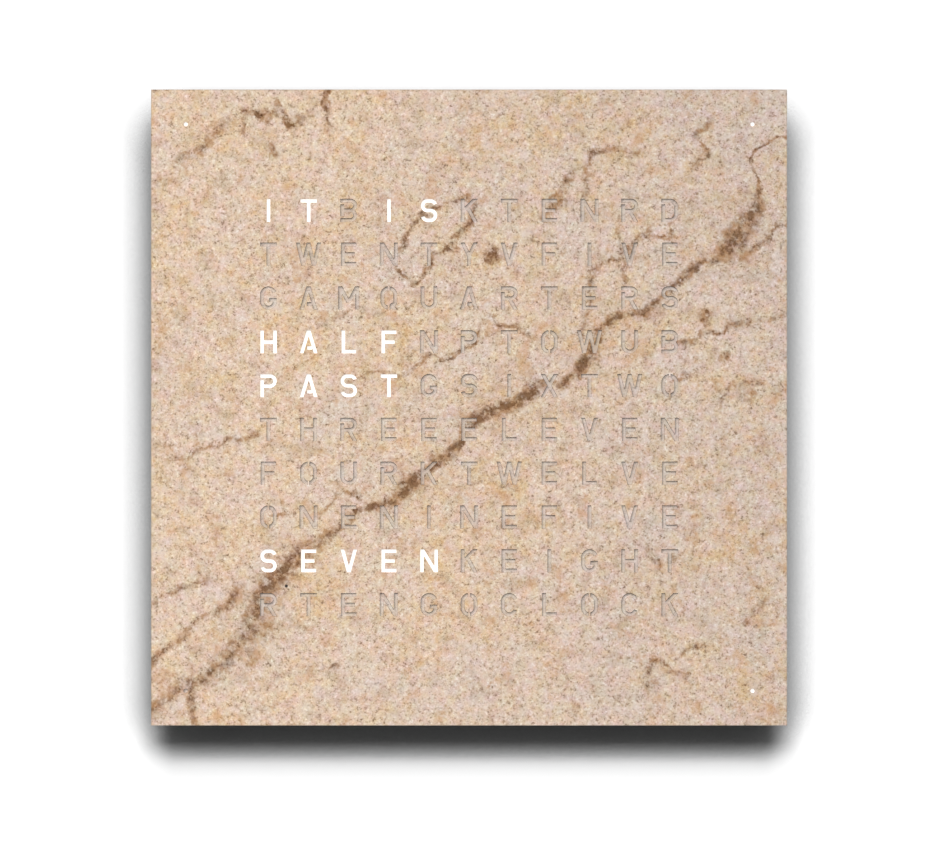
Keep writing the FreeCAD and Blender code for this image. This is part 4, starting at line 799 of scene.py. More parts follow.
# ---------------------------------------------------------------------------------------
# Moulded plastic, rubber, metal and boards
# ---------------------------------------------------------------------------------------
DUST = paint(168, 164, 156)
UNBRUSHED = (1, 1, 1)
HAIRLINE = 0.25 * MM
HAIRLINE_DEPTH = 0.006 * MM
METAL_EDGE = 0.25 * MM

# Copper tracks under the solder mask, and the tinned pads between them.
TRACK_LONG, TRACK_STEP, TRACK_GAP = 7.1 * MM, 2.3 * MM, 0.22 * MM
PAD_STEP, PAD_SIZE = 4.7 * MM, 0.11

WIRE_TURN = 1.4 * MM
CABLE_CORE = 4 * MM
LAMP_RIM = (1.95 * MM, 1.75 * MM)


def moulded(name, colour, roughness=0.55, texture=0.7 * MM, depth=0.03 * MM, wear=0.35,
            edge=0.35 * MM, dust=0.04):
    """Plastic or rubber from a spark-eroded mould: fine pits, dull patches, rubbed edges."""
    recipe = Recipe(name, specular=0.45)
    pits = recipe.cloud(texture, 3, 0.6)
    cloud = recipe.cloud(35 * MM, 4, 0.6)
    base = recipe.mix(recipe.varied(cloud), shaded(colour, 0.9), shaded(colour, 1.12))
    settled = recipe.spread(recipe.cloud(6 * MM, 5, 0.7), 0.5, 0.75)
    base = recipe.mix(recipe.times(settled, dust), base, DUST)
    rubbed, soft = recipe.worn_edge(edge)
    rubbed = recipe.times(rubbed, recipe.spread(pits, 0.35, 0.6))
    base = recipe.mix(recipe.times(rubbed, wear), base, shaded(colour, 2.4))
    dull = recipe.varied(cloud, roughness - 0.07, roughness + 0.08)
    return recipe.finished(base, recipe.times_plus(rubbed, -0.18, dull), pits, depth, soft)


def small_moulding(name, colour, roughness=0.4):
    """Plastic from a polished mould, as the small parts are."""
    return moulded(name, colour, roughness, 0.4 * MM, 0.01 * MM)


def ferrite(name, colour, roughness):
    return moulded(name, colour, roughness, 0.5 * MM, 0.05 * MM)


def metal(name, colour, roughness, brushed=UNBRUSHED, tarnish=0.25):
    """Rolled or turned metal: hairlines, faint stains, brighter edges."""
    recipe = Recipe(name, metallic=1.0)
    hair = recipe.cloud(HAIRLINE, 3, 0.65, recipe.stretched(*brushed))
    stain = recipe.spread(recipe.cloud(9 * MM, 4, 0.6), 0.38, 0.72)
    base = recipe.mix(recipe.times(stain, tarnish), opaque(colour), shaded(colour, 0.55))
    base = recipe.mix(recipe.times(hair, 0.22), base, shaded(colour, 0.7))
    bright, soft = recipe.worn_edge(METAL_EDGE)
    base = recipe.mix(recipe.times(bright, 0.5), base, shaded(colour, 1.2))
    dull = recipe.varied(hair, roughness - 0.06, roughness + 0.08)
    return recipe.finished(base, recipe.times_plus(stain, 0.16, dull), hair, HAIRLINE_DEPTH,
                           soft)


def circuit_board(name, mask):
    """Solder mask over copper tracks, with tinned pads and the weave just showing."""
    recipe = Recipe(name)
    weave = recipe.cloud(0.6 * MM)
    there = recipe.split(recipe.place)
    flat = recipe.joined(there[0], there[2])
    tracks = recipe.add("ShaderNodeTexBrick", offset=0.5, squash=1.0)
    for socket, value in (("Vector", flat), ("Scale", 1.0), ("Mortar Size", TRACK_GAP),
                          ("Mortar Smooth", 0.1), ("Brick Width", TRACK_LONG),
                          ("Row Height", TRACK_STEP)):
        recipe.feed(tracks.inputs[socket], value)
    track = tracks.outputs["Fac"]
    base = recipe.mix(recipe.varied(weave), shaded(mask, 0.85), shaded(mask, 1.1))
    base = recipe.mix(recipe.times(track, 0.6), base, shaded(mask, 1.9))
    pad = recipe.math("LESS_THAN", recipe.cells(PAD_STEP, flat)["Distance"], PAD_SIZE)
    base = recipe.mix(pad, base, paint(206, 208, 202))
    recipe.set("Metallic", pad)
    relief = recipe.weighed(0.0, (weave, 0.4), (track, 1.2))
    return recipe.finished(base, recipe.varied(weave, 0.26, 0.4), relief, 0.03 * MM)


def wound_copper(name):
    """Enamelled wire, wound side by side along X, with painted shade in the grooves between
    turns and a painted highlight on their crowns.
    """
    recipe = Recipe(name, metallic=1.0)
    turns = recipe.ridges(WIRE_TURN, waver=0.4)
    cloud = recipe.cloud(3 * MM, 3)
    # Painted shade and highlight: dark in the grooves, pale on the crowns of the turns.
    base = recipe.ramp(turns, [(0.0, paint(92, 44, 20)), (0.6, paint(186, 104, 58))])
    base = recipe.mix(recipe.times(cloud, 0.4), base, paint(150, 76, 38))
    return recipe.finished(base, recipe.varied(cloud, 0.22, 0.38), turns, 0.15 * MM)


def flat_cable(name):
    """Grey ribbon cable: parallel cores, running up the clock."""
    recipe = Recipe(name)
    cores = recipe.ridges(CABLE_CORE)
    cloud = recipe.cloud(8 * MM, 3)
    return recipe.finished(recipe.mix(cloud, paint(150, 152, 156), paint(176, 178, 180)),
                           recipe.varied(cloud, 0.42, 0.58), cores, 0.25 * MM)


def lamp_window(name):
    """White lamp housings, each with a round yellow-white window at its middle."""
    recipe = Recipe(name)
    there = recipe.split(recipe.place)
    across = recipe.math("PINGPONG", there[0], PITCH_ACROSS / 2)
    # Whole rows are added, so that the height stays above zero and folds to 0 on each lamp.
    lift = PITCH_DOWN / 2 + 2 * LETTER_ROWS * PITCH_DOWN - FACE_MIDDLE.z
    up = recipe.math("PINGPONG", recipe.math("ADD", there[2], lift), PITCH_DOWN / 2)
    gap = recipe.math("SQRT", recipe.math(
        "ADD", recipe.math("POWER", across, 2.0), recipe.math("POWER", up, 2.0)))
    window = recipe.spread(gap, *LAMP_RIM)
    grit = recipe.cloud(0.5 * MM)
    glass = recipe.mix(grit, paint(240, 214, 120), paint(250, 232, 160))
    return recipe.finished(recipe.mix(window, paint(236, 236, 230), glass),
                           recipe.varied(grit, 0.25, 0.45), recipe.times(window, -1.0),
                           0.2 * MM)


def clear_lens(name):
    recipe = Recipe(name)
    recipe.shader["Transmission Weight"].default_value = 0.75
    recipe.shader["IOR"].default_value = 1.49
    cloud = recipe.cloud(2 * MM)
    return recipe.finished(recipe.mix(cloud, paint(60, 62, 70), paint(84, 88, 98)),
                           recipe.varied(cloud, 0.04, 0.12), cloud, 0.01 * MM)


def set_finish(material, *nodes):
    for node in nodes:
        slots = NODES[node].data.materials
        for index in range(len(slots)):
            slots[index] = material


# ---------------------------------------------------------------------------------------
# Modelling
# ---------------------------------------------------------------------------------------
RIGHTWARDS, TO_THE_WALL, UPWARDS = (1, 0, 0), (0, 1, 0), (0, 0, 1)

# The one size of cross-headed screw that the casing uses, and its recess as shares of the head.
SCREW_SHANK, SCREW_HEAD, SCREW_HEAD_THICK = 1.5 * MM, 3 * MM, 1.6 * MM
CROSS_WIDTH, CROSS_LENGTH, CROSS_DEPTH = 0.32, 1.25, 0.62
CROSS_TAPER = 0.55

WELD_GAP = 0.002 * MM
FLAT_TURN = math.radians(0.5)


def deselect():
    bpy.ops.object.select_all(action="DESELECT")


def pick(piece):
    deselect()
    piece.select_set(True)
    bpy.context.view_layer.objects.active = piece


def edit(piece):
    pick(piece)
    bpy.ops.object.mode_set(mode="EDIT")
    bpy.ops.mesh.select_mode(type="FACE")


def leave_edit():
    bpy.ops.object.mode_set(mode="OBJECT")


def settle():
    """Puts the place, turn and size of the selected piece into its mesh."""
    bpy.ops.object.transform_apply(location=True, rotation=True, scale=True)


def turned(name, steps, segments=48):
    """A piece turned on a lathe along Z: each step is (radius, height), from end to end."""
    deselect()
    radius, height = steps[0]
    bpy.ops.mesh.primitive_circle_add(vertices=segments, radius=radius, fill_type="NGON",
                                      location=(0, 0, height))
    piece = bpy.context.active_object
    settle()
    edit(piece)
    bpy.ops.mesh.select_all(action="SELECT")
    for (before, low), (after, high) in zip(steps, steps[1:]):
        bpy.ops.mesh.extrude_region_move(
            TRANSFORM_OT_translate={"value": (0, 0, high - low)})
        bpy.ops.transform.resize(value=(after / before, after / before, 1))
    bpy.ops.mesh.select_all(action="SELECT")
    bpy.ops.mesh.normals_make_consistent(inside=False)
    leave_edit()
    piece.name = name
    return piece


def soften(piece, width, segments=2, angle=35):
    pick(piece)
    rounding = piece.modifiers.new("rounding", "BEVEL")
    rounding.width = width
    rounding.segments = segments
    rounding.limit_method = "ANGLE"
    rounding.angle_limit = math.radians(angle)
    bpy.ops.object.modifier_apply(modifier=rounding.name)
    bpy.ops.object.shade_smooth_by_angle(angle=math.radians(angle))
    level = piece.modifiers.new("level_flats", "WEIGHTED_NORMAL")
    level.keep_sharp = True
    bpy.ops.object.modifier_apply(modifier=level.name)


def combine(piece, other, operation):
    """Cuts another piece out of this one, or welds it on, and removes the other."""
    pick(piece)
    joint = piece.modifiers.new("joint", "BOOLEAN")
    joint.operation = operation
    joint.solver = "EXACT"
    joint.object = other
    bpy.ops.object.modifier_apply(modifier=joint.name)
    bpy.data.objects.remove(other)


def place_piece(piece, spot, direction):
    """Moves a piece that is drawn along Z to a spot, looking in a direction."""
    turn = Vector(UPWARDS).rotation_difference(Vector(direction))
    piece.matrix_world = Matrix.Translation(Vector(spot)) @ turn.to_matrix().to_4x4()
    pick(piece)
    settle()


def seat_piece(piece, node, direction):
    """Places a piece drawn along Z where a node's box starts, looking in a direction."""
    low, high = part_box(node)
    spot = [(low[axis] + high[axis]) / 2 for axis in range(3)]
    upright = direction.index(1)
    spot[upright] = low[upright]
    place_piece(piece, spot, direction)


def placed_copies(piece, places, direction, name):
    """One copy of a model at each place, joined under one name."""
    copies = []
    for spot in places:
        twin = piece.copy()
        twin.data = piece.data.copy()
        bpy.context.scene.collection.objects.link(twin)
        place_piece(twin, spot, direction)
        copies.append(twin)
    bpy.data.objects.remove(piece)
    pick(copies[0])
    for twin in copies[1:]:
        twin.select_set(True)
    if len(copies) > 1:
        bpy.ops.object.join()
    copies[0].name = name
    return copies[0]


def hand_over(piece, material, body, slot, *nodes):
    """Gives a finished piece its finish and its body, in place of its solid."""
    piece.data.materials.clear()
    piece.data.materials.append(material)
    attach(piece, body)
    if nodes:
        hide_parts(*nodes)


def cross_cutter(width, length, depth):
    """A cross-shaped punch, tapered to its tip, for a screw's recess."""
    bars = []
    for wide, long in ((width, length), (length, width)):
        deselect()
        bpy.ops.mesh.primitive_cube_add(size=1, location=(0, 0, 0))
        bar = bpy.context.active_object
        bar.scale = (wide, long, 2 * depth)
        settle()
        edit(bar)
        bpy.ops.mesh.select_all(action="DESELECT")
        leave_edit()
        for face in bar.data.polygons:
            face.select = face.normal.z < -0.9
        edit(bar)
        bpy.ops.transform.resize(value=(CROSS_TAPER, CROSS_TAPER, 1))
        leave_edit()
        bars.append(bar)
    combine(*bars, "UNION")
    return bars[0]


def cross_screw(name, length, countersunk):
    """A cross-headed screw along Z, its head's top at 0 and its tip at minus its length."""
    shank, head, thick = SCREW_SHANK, SCREW_HEAD, SCREW_HEAD_THICK
    if countersunk:
        steps = [(head * 0.98, 0), (head, -0.15 * thick), (head, -0.4 * thick),
                 (shank * 1.15, -thick)]
    else:
        steps = [(head * 0.45, 0), (head * 0.75, -0.08 * thick), (head * 0.93, -0.28 * thick),
                 (head, -0.6 * thick), (head, -thick), (shank * 1.1, -thick)]
    steps += [(shank, -thick - 0.3 * MM), (shank, -length + shank), (shank * 0.5, -length)]
    piece = turned(name, steps, segments=32)
    cutter = cross_cutter(CROSS_WIDTH * head, CROSS_LENGTH * head, CROSS_DEPTH * thick)
    combine(piece, cutter, "DIFFERENCE")
    soften(piece, 0.08 * MM, segments=1, angle=30)
    return piece


def drive_screws(node, name, material, countersunk=False):
    """Models a node's screws, whose heads look to the wall."""
    boxes = shell_boxes(node)
    seat = max(high.y for _, high in boxes)
    length = seat - min(low.y for low, _ in boxes)
    spots = [((low.x + high.x) / 2, seat, (low.z + high.z) / 2) for low, high in boxes]
    screws = placed_copies(cross_screw(name, length, countersunk), spots, TO_THE_WALL, name)
    hand_over(screws, material, "casing", "screw_steel", node)


def rubbed_copy(source, name, width):
    """A copy of a solid with its sharp edges broken."""
    piece = NODES[source].copy()
    piece.data = NODES[source].data.copy()
    bpy.context.scene.collection.objects.link(piece)
    for key in list(piece.keys()):
        del piece[key]
    piece.parent = None
    piece.name = name
    edit(piece)
    bpy.ops.mesh.select_all(action="SELECT")
    bpy.ops.mesh.remove_doubles(threshold=WELD_GAP)
    bpy.ops.mesh.dissolve_limited(angle_limit=FLAT_TURN)
    leave_edit()
    soften(piece, width, angle=40)
    return piece


def shell_boxes(node):
    """The box of each separate solid in a node, found by its loose shells."""
    mesh = NODES[node].data
    owner = {}
    spots = {}

    def find(key):
        while owner[key] != key:
            owner[key] = owner[owner[key]]
            key = owner[key]
        return key

    for face in mesh.polygons:
        keys = []
        for index in face.vertices:
            key = tuple(round(c * 1e5) for c in mesh.vertices[index].co)
            owner.setdefault(key, key)
            spots[key] = mesh.vertices[index].co
            keys.append(key)
        for key in keys[1:]:
            owner[find(key)] = find(keys[0])
    shells = {}
    for key, spot in spots.items():
        shells.setdefault(find(key), []).append(spot)
    boxes = [(Vector(map(min, *shell)), Vector(map(max, *shell)))
             for shell in shells.values()]
    return sorted(boxes, key=lambda box: tuple((box[0] + box[1]) / 2))


# ---------------------------------------------------------------------------------------
# Operators
# ---------------------------------------------------------------------------------------
BUTTONS = 4
BUTTON_RADIUS, BUTTON_FLANGE = 3.5 * MM, 1.0 * MM
JACK_FLANGE, JACK_NECK, JACK_BARREL = 1.5 * MM, 4 * MM, 5 * MM
JACK_BORE, JACK_PIN, JACK_FLOOR, JACK_PIN_TIP = 2.8 * MM, 1 * MM, 12 * MM, 1.5 * MM
WINDOW_PLUG, WINDOW_BRIM = 2.5 * MM, 0.8 * MM


class WORDCLOCK_OT_stone_face(bpy.types.Operator):
    """Lays the veined sandstone on the front"""
    bl_idname = "wordclock.stone_face"
    bl_label = "Stone face"

    def execute(self, context):
        set_finish(lay_stone(context.scene.clock_stone), "stone_face")
        return {"FINISHED"}


class WORDCLOCK_OT_letters(bpy.types.Operator):
    """Fills the letters and corner dots with opal, and lights those that tell the time"""
    bl_idname = "wordclock.letters"
    bl_label = "Letters and dots"

    def execute(self, context):
        time, stone = context.scene.clock_time, context.scene.clock_stone
        words = word_windows(words_for(time.hour, time.minute))
        dots = dot_windows(time.minute % 5)
        set_finish(tinted_opal("letter_opal", stone, words, time.glow), "letter_inserts")
        set_finish(tinted_opal("dot_opal", stone, dots, time.glow), "minute_lenses")
        set_finish(milk_opal(), "diffuser_sheet")
        return {"FINISHED"}


class WORDCLOCK_OT_cover_back(bpy.types.Operator):
    """Finishes the steel carrier behind the stone and its locating pins"""
    bl_idname = "wordclock.cover_back"
    bl_label = "Cover back"

    def execute(self, context):
        steel = context.scene.clock_hardware.steel
        set_finish(metal("carrier_steel", paint(122, 124, 124), 0.42, (30, 1, 1), 0.4),
                   "carrier_plate")
        set_finish(metal("pin_steel", steel, 0.25), "locating_pins")
        return {"FINISHED"}


class WORDCLOCK_OT_casing(bpy.types.Operator):
    """Finishes the moulded casing, its rear panel and the magnets in it"""
    bl_idname = "wordclock.casing"
    bl_label = "Casing"

    def execute(self, context):
        black = context.scene.clock_hardware.casing
        set_finish(moulded("casing_plastic", black, 0.5, 0.9 * MM), "casing_frame")
        set_finish(moulded("panel_plastic", shaded(black, 0.85), 0.6, 1.4 * MM, 0.06 * MM,
                           dust=0.05), "rear_panel")
        set_finish(metal("magnet_nickel", paint(190, 188, 182), 0.18, tarnish=0.15),
                   "cover_magnets")
        return {"FINISHED"}


class WORDCLOCK_OT_hangers(bpy.types.Operator):
    """Models the keyhole plates with broken edges, and their countersunk screws"""
    bl_idname = "wordclock.hangers"
    bl_label = "Keyhole plates"

    def execute(self, context):
        steel = context.scene.clock_hardware.steel
        plated = metal("plate_zinc", steel, 0.34, (1, 1, 24), 0.35)
        for side in ("left", "right"):
            node = f"keyhole_plate_{side}"
            plate = rubbed_copy(node, f"hanger_{side}", 0.25 * MM)
            hand_over(plate, plated, "casing", "plate_steel", node)
        drive_screws("keyhole_plate_screws", "hanger_screws",
                     metal("screw_zinc", steel, 0.28), countersunk=True)
        return {"FINISHED"}


class WORDCLOCK_OT_panel_screws(bpy.types.Operator):
    """Models the cross-headed screws that hold the rear panel and the light grid"""
    bl_idname = "wordclock.panel_screws"
    bl_label = "Panel screws"

    def execute(self, context):
        black_zinc = metal("screw_black_zinc", paint(96, 96, 98), 0.34)
        drive_screws("rear_panel_screws", "panel_screws", black_zinc)
        drive_screws("grid_screws", "light_grid_screws", black_zinc)
        set_finish(metal("board_screw_zinc", context.scene.clock_hardware.steel, 0.3),
                   "board_screws")
        return {"FINISHED"}


class WORDCLOCK_OT_bumpers(bpy.types.Operator):
    """Models the four rubber bumpers that rest on the wall"""
    bl_idname = "wordclock.bumpers"
    bl_label = "Wall bumpers"

    def execute(self, context):
        rubber = moulded("bumper_rubber", paint(96, 96, 94), 0.8, 0.5 * MM, 0.04 * MM,
                         wear=0.2, dust=0.12)
        outline = [(1, 0), (1, 0.45), (0.94, 0.72), (0.80, 0.92), (0.66, 1), (0.50, 1),
                   (0.42, 0.80), (0.20, 0.72)]
        for end in ("bottom_left", "bottom_right", "top_right", "top_left"):
            node = f"wall_bumper_{end}"
            low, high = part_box(node)
            radius, thick = (high.x - low.x) / 2, high.y - low.y
            foot = turned(f"bumper_{end}",
                          [(out * radius, up * thick) for out, up in outline])
            soften(foot, 0.15 * MM)
            seat_piece(foot, node, TO_THE_WALL)
            hand_over(foot, rubber, "casing", "bumper_rubber", node)
        return {"FINISHED"}


class WORDCLOCK_OT_push_buttons(bpy.types.Operator):
    """Models the four push buttons in the right-hand wall, and finishes their switches"""
    bl_idname = "wordclock.push_buttons"
    bl_label = "Push buttons"

    def execute(self, context):
        cap = moulded("button_plastic", paint(116, 117, 119), 0.42, 0.4 * MM, 0.012 * MM,
                      wear=0.5, edge=0.3 * MM)
        stem = small_moulding("plunger_plastic", paint(214, 212, 204))
        # The rim and the fingertip hollow: share of the radius, and depth below the top.
        dished = [(1, 0.55), (0.96, 0.2), (0.86, 0), (0.68, 0), (0.56, 0.22), (0.30, 0.36),
                  (0.08, 0.4)]
        for number in range(1, BUTTONS + 1):
            node = f"push_button_{number}"
            low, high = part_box(node)
            long, flange = high.x - low.x, (high.z - low.z) / 2
            button = turned(f"button_cap_{number}", [
                (flange, 0), (flange, BUTTON_FLANGE), (BUTTON_RADIUS, BUTTON_FLANGE),
                *((out * BUTTON_RADIUS, long - down * MM) for out, down in dished)])
            soften(button, 0.1 * MM)
            seat_piece(button, node, RIGHTWARDS)
            hand_over(button, cap, f"button_{number}", "button_grey", node)
            set_finish(stem, f"switch_plunger_{number}")
        set_finish(small_moulding("switch_housing", paint(34, 34, 36)), "tact_switches")
        set_finish(circuit_board("button_board_mask", context.scene.clock_hardware.board),
                   "button_board")
        return {"FINISHED"}


class WORDCLOCK_OT_supply_inlet(bpy.types.Operator):
    """Models the barrel socket in the lower wall, and finishes its nut"""
    bl_idname = "wordclock.supply_inlet"
    bl_label = "Supply inlet"

    def execute(self, context):
        low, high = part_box("dc_jack")
        long, flange = high.z - low.z, (high.x - low.x) / 2
        nut_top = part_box("dc_jack_nut")[1].z - low.z
        # The bore's floor stands clear of the pin's foot.
        floor = JACK_FLOOR - 0.01 * MM
        socket = turned("barrel_socket", [
            (JACK_PIN, floor), (JACK_BORE, floor), (JACK_BORE, 0.5 * MM),
            (1.14 * JACK_BORE, 0), (0.90 * flange, 0), (flange, 0.35 * MM),
            (flange, JACK_FLANGE), (JACK_NECK, JACK_FLANGE), (JACK_NECK, nut_top),
            (JACK_BARREL, nut_top), (JACK_BARREL, long - 0.5 * MM),
            (0.9 * JACK_BARREL, long), (0.3 * JACK_BARREL, long)])
        soften(socket, 0.08 * MM)
        seat_piece(socket, "dc_jack", UPWARDS)
        hand_over(socket, small_moulding("socket_plastic", paint(26, 26, 28), 0.35), "casing",
                  "jack_black", "dc_jack")
        post = turned("socket_pin", [
            (0.55 * JACK_PIN, JACK_PIN_TIP), (0.85 * JACK_PIN, JACK_PIN_TIP + 0.2 * MM),
            (JACK_PIN, JACK_PIN_TIP + 0.6 * MM), (JACK_PIN, JACK_FLOOR)], segments=24)
        soften(post, 0.05 * MM, segments=1)
        seat_piece(post, "dc_jack", UPWARDS)
        steel = metal("socket_pin_steel", context.scene.clock_hardware.steel, 0.2)
        hand_over(post, steel, "casing", "jack_black")
        set_finish(steel, "dc_jack_nut")
        return {"FINISHED"}


class WORDCLOCK_OT_sensor_and_antenna(bpy.types.Operator):
    """Models the brightness sensor's window, and finishes the sensor and the antenna"""
    bl_idname = "wordclock.sensor_and_antenna"
    bl_label = "Sensor and antenna"

    def execute(self, context):
        low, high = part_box("sensor_window")
        tall, flange = high.z - low.z, (high.x - low.x) / 2
        # The dome: share of the flange, and depth below the top.
        dome = [(1, 0.45), (0.90, 0.25), (0.72, 0.12), (0.48, 0.03), (0.24, 0)]
        window = turned("sensor_lens", [
            (WINDOW_PLUG, 0), (WINDOW_PLUG, tall - WINDOW_BRIM), (flange, tall - WINDOW_BRIM),
            *((out * flange, tall - down * MM) for out, down in dome)])
        soften(window, 0.06 * MM)
        seat_piece(window, "sensor_window", UPWARDS)
        hand_over(window, clear_lens("smoked_lens"), "casing", "window_clear",
                  "sensor_window")
        set_finish(small_moulding("sensor_housing", paint(30, 30, 34), 0.3), "light_sensor")
        set_finish(ferrite("ferrite", paint(52, 50, 50), 0.62), "antenna_rod")
        set_finish(wound_copper("antenna_wire"), "antenna_coil")
        set_finish(moulded("clip_plastic", paint(34, 34, 36), 0.5), "antenna_clips")
        return {"FINISHED"}


class WORDCLOCK_OT_light_grid(bpy.types.Operator):
    """Finishes the light grid, its rows of lamps and the ribbon that joins them"""
    bl_idname = "wordclock.light_grid"
    bl_label = "Light grid and lamps"

    def execute(self, context):
        rows = [f"led_board_row_{row:02d}" for row in range(1, LETTER_ROWS + 1)]
        set_finish(moulded("grid_plastic", paint(226, 226, 222), 0.5, 0.8 * MM, wear=0.0),
                   "light_grid")
        set_finish(circuit_board("row_board_mask", context.scene.clock_hardware.board),
                   *rows, "minute_led_boards")
        set_finish(lamp_window("lamp_housing"), "letter_leds", "minute_leds")
        set_finish(small_moulding("connector_plastic", paint(30, 30, 32), 0.45),
                   "ribbon_connectors")
        set_finish(flat_cable("ribbon_cable"), "row_ribbon")
        return {"FINISHED"}


class WORDCLOCK_OT_main_board(bpy.types.Operator):
    """Finishes the main board and the parts on it"""
    bl_idname = "wordclock.main_board"
    bl_label = "Main board"

    def execute(self, context):
        set_finish(circuit_board("main_board_mask", context.scene.clock_hardware.board),
                   "main_board")
        set_finish(moulded("chip_epoxy", paint(28, 28, 30), 0.55, 0.3 * MM, 0.012 * MM),
                   "microcontroller", "clock_chip")
        set_finish(moulded("holder_plastic", paint(30, 30, 32), 0.45), "coin_cell_holder")
        set_finish(metal("cell_steel", paint(204, 204, 202), 0.26), "coin_cell")
        set_finish(ferrite("coil_ferrite", paint(58, 57, 58), 0.7), "power_coil")
        set_finish(metal("capacitor_can", paint(186, 188, 190), 0.3, (1, 20, 1)),
                   "capacitors")
        return {"FINISHED"}


class WORDCLOCK_OT_studio(bpy.types.Operator):
    """Sets up the wall, floor, lamps and camera"""
    bl_idname = "wordclock.studio"
    bl_label = "Studio"

    def execute(self, context):
        scene = context.scene
        build_wall_and_floor()
        build_lamps(scene.clock_studio)
        build_sky(scene)
        build_camera(scene, scene.clock_studio)
        scene.view_settings.view_transform = "Standard"
        return {"FINISHED"}


# ---------------------------------------------------------------------------------------
# Studio
# ---------------------------------------------------------------------------------------
WALL_GAP = 0.3 * MM
WALL_SIZE, FLOOR_SIZE = 5, 14
FLOOR_LEVEL = -1.3

# The backdrop's white: how it is shown, and how it is lit where light falls back from it.
SHOWN_WHITE, LIT_WHITE = 1.25, 0.8
CHALK_GRAINS, CHALK_CONTRAST = 40, 0.01

# Painted shadow on the backdrop close to the clock: an occlusion test leaning towards the key
# light darkens the paint's colour there.
PAINTED_SHADOW_REACH = 39 * MM
PAINTED_SHADOW_TILT = (0, -0.67, 0.742)
PAINTED_SHADOW_RANGE = (0.68, 0.94)
PAINTED_SHADOW_DARKEST = 0.235

# Places of the lamps: across, towards the wall, and up from the middle of the face.
FILL_PLACE, FILL_SIZE = (-1.3, -2.2, -0.6), (2, 1.6)
REAR_PLACE, REAR_SIZE = (0.6, 3, 2), (3, 2)
KEY_PLACE = (0, -3, 3)
SKY_LIGHT, SKY_SHOWN = 0.13, 1.0

# The camera's eye, to the right of and below the middle of the face, and its sensor.
EYE_RIGHT, EYE_BELOW = 0.3 * MM, 13.8 * MM
SENSOR_WIDTH = 36
FARTHEST_SEEN = 50


def direct_ray(mixer):
    """1 for rays that show the backdrop itself: camera, mirror and glass rays."""
    path = mixer.add("ShaderNodeLightPath").outputs
    shown = mixer.math("MAXIMUM", path["Is Camera Ray"], path["Is Glossy Ray"])
    return mixer.math("MAXIMUM", shown, path["Is Transmission Ray"])


def backdrop_paint(name, one_sided):
    """Matt white paint, darkened by a painted shadow close to the clock; a one-sided backdrop
    can be looked through from behind.
    """
    material = bpy.data.materials.new(name)
    material.use_nodes = True
    nodes = material.node_tree.nodes
    nodes.remove(nodes["Principled BSDF"])
    mixer = Mixer(material.node_tree)
    level = mixer.spread(direct_ray(mixer), 0, 1, LIT_WHITE, SHOWN_WHITE)
    chalky = mixer.times_plus(mixer.cloud(1 / CHALK_GRAINS), CHALK_CONTRAST, level)
    # Painted shadow: the paint's colour is darker where the clock stands close, on the key
    # light's side.
    painted_shadow = mixer.spread(mixer.openness(PAINTED_SHADOW_REACH, PAINTED_SHADOW_TILT, samples=4), *PAINTED_SHADOW_RANGE, PAINTED_SHADOW_DARKEST)
    surface = mixer.fed("ShaderNodeBsdfDiffuse", mixer.times(chalky, painted_shadow))[0]
    if one_sided:
        behind = mixer.add("ShaderNodeNewGeometry").outputs["Backfacing"]
        clear = mixer.add("ShaderNodeBsdfTransparent").outputs[0]
        surface = mixer.fed("ShaderNodeMixShader", behind, surface, clear)[0]
    mixer.feed(nodes["Material Output"].inputs["Surface"], surface)
    return material


def backdrop(name, size, location, tilt=0):
    deselect()
    bpy.ops.mesh.primitive_plane_add(size=size, location=location, rotation=(tilt, 0, 0))
    plane = bpy.context.active_object
    plane.name = name
    plane.visible_diffuse = False
    return plane


def build_wall_and_floor():
    wall = backdrop("wall", WALL_SIZE, (0, WALL_GAP, FLOOR_LEVEL + WALL_SIZE / 2),
                    math.radians(90))
    wall.data.materials.append(backdrop_paint("wall_paint", True))
    wall.visible_shadow = False
    wall.visible_glossy = False
    floor = backdrop("floor", FLOOR_SIZE, (0, 0, FLOOR_LEVEL))
    floor.data.materials.append(backdrop_paint("floor_paint", False))
    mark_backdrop(wall, floor)


def area_lamp(name, place, size, power, lit_pieces):
    """A soft lamp that looks at the clock and lights nothing else."""
    deselect()
    spot = Vector((*place[:2], FACE_MIDDLE.z + place[2]))
    bpy.ops.object.light_add(type="AREA", location=spot)
    lamp = bpy.context.active_object
    lamp.name = name
    lamp.data.shape = "RECTANGLE"
    lamp.data.size, lamp.data.size_y = size
    lamp.data.energy = power
    lamp.visible_camera = False
    lamp.rotation_euler = (FACE_MIDDLE - spot).to_track_quat("-Z", "Y").to_euler()
    lamp.light_linking.receiver_collection = lit_pieces


def build_lamps(studio):
    clock = bpy.data.collections.new("clock")
    for piece in bpy.context.scene.objects:
        if piece.type == "MESH" and not piece.get("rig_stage"):
            clock.objects.link(piece)
    deselect()
    bpy.ops.object.light_add(type="SUN", location=KEY_PLACE, rotation=(
        math.radians(90) - studio.key_height, 0, 0))
    key = bpy.context.active_object
    key.name = "key_lamp"
    key.data.energy = studio.key
    key.data.angle = studio.key_softness
    area_lamp("fill_lamp", FILL_PLACE, FILL_SIZE, studio.fill, clock)
    area_lamp("rear_lamp", REAR_PLACE, REAR_SIZE, studio.rear, clock)


def build_sky(scene):
    """A white surround that shows as white, and lights the clock only faintly."""
    sky = bpy.data.worlds.new("surround")
    scene.world = sky
    sky.use_nodes = True
    mixer = Mixer(sky.node_tree)
    glow = sky.node_tree.nodes["Background"].inputs
    glow["Color"].default_value = WHITE
    mixer.feed(glow["Strength"], mixer.spread(direct_ray(mixer), 0, 1, SKY_LIGHT, SKY_SHOWN))


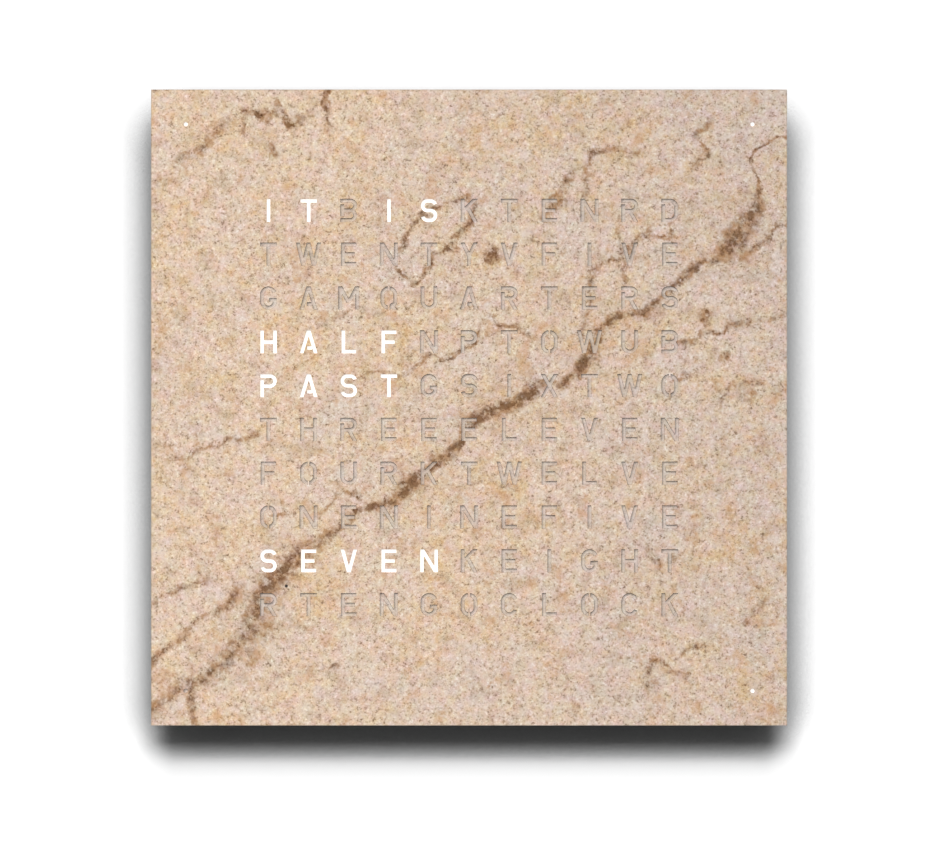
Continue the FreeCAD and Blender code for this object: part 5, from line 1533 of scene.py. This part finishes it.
def build_camera(scene, studio):
    """Square on to the face, a little below its middle."""
    deselect()
    eye = (EYE_RIGHT, FACE_LOW.y - studio.distance, FACE_MIDDLE.z - EYE_BELOW)
    bpy.ops.object.camera_add(location=eye, rotation=(math.radians(90), 0, 0))
    camera = bpy.context.active_object
    camera.name = "camera"
    camera.data.sensor_width = SENSOR_WIDTH
    camera.data.sensor_fit = "HORIZONTAL"
    camera.data.lens = SENSOR_WIDTH * studio.distance / studio.view_width
    camera.data.clip_end = FARTHEST_SEEN
    scene.camera = camera


# ---------------------------------------------------------------------------------------
# Panel, registering and running
# ---------------------------------------------------------------------------------------
STEPS = [WORDCLOCK_OT_stone_face, WORDCLOCK_OT_letters, WORDCLOCK_OT_cover_back,
         WORDCLOCK_OT_casing, WORDCLOCK_OT_hangers, WORDCLOCK_OT_panel_screws,
         WORDCLOCK_OT_bumpers, WORDCLOCK_OT_push_buttons, WORDCLOCK_OT_supply_inlet,
         WORDCLOCK_OT_sensor_and_antenna, WORDCLOCK_OT_light_grid, WORDCLOCK_OT_main_board,
         WORDCLOCK_OT_studio]


class WORDCLOCK_PT_steps(bpy.types.Panel):
    """Steps that dress the clock"""
    bl_label = "Word clock"
    bl_idname = "WORDCLOCK_PT_steps"
    bl_space_type = "VIEW_3D"
    bl_region_type = "UI"
    bl_category = "Word clock"

    def draw(self, context):
        for name, group in SETTINGS.items():
            settings = getattr(context.scene, name)
            column = self.layout.column(align=True)
            for setting in group.__annotations__:
                column.prop(settings, setting)
        for step in STEPS:
            self.layout.operator(step.bl_idname)


def register():
    for group in SETTINGS.values():
        bpy.utils.register_class(group)
    for step in STEPS:
        bpy.utils.register_class(step)
    bpy.utils.register_class(WORDCLOCK_PT_steps)
    for name, group in SETTINGS.items():
        setattr(bpy.types.Scene, name, bpy.props.PointerProperty(type=group))


def unregister():
    for name in SETTINGS:
        delattr(bpy.types.Scene, name)
    for known in [WORDCLOCK_PT_steps, *reversed(STEPS), *SETTINGS.values()]:
        bpy.utils.unregister_class(known)


def main():
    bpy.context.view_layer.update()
    register()
    for step in STEPS:
        group, name = step.bl_idname.split(".")
        if getattr(getattr(bpy.ops, group), name)() != {"FINISHED"}:
            raise RuntimeError(f"{step.bl_label} did not finish")


if __name__ == "__main__":
    main()
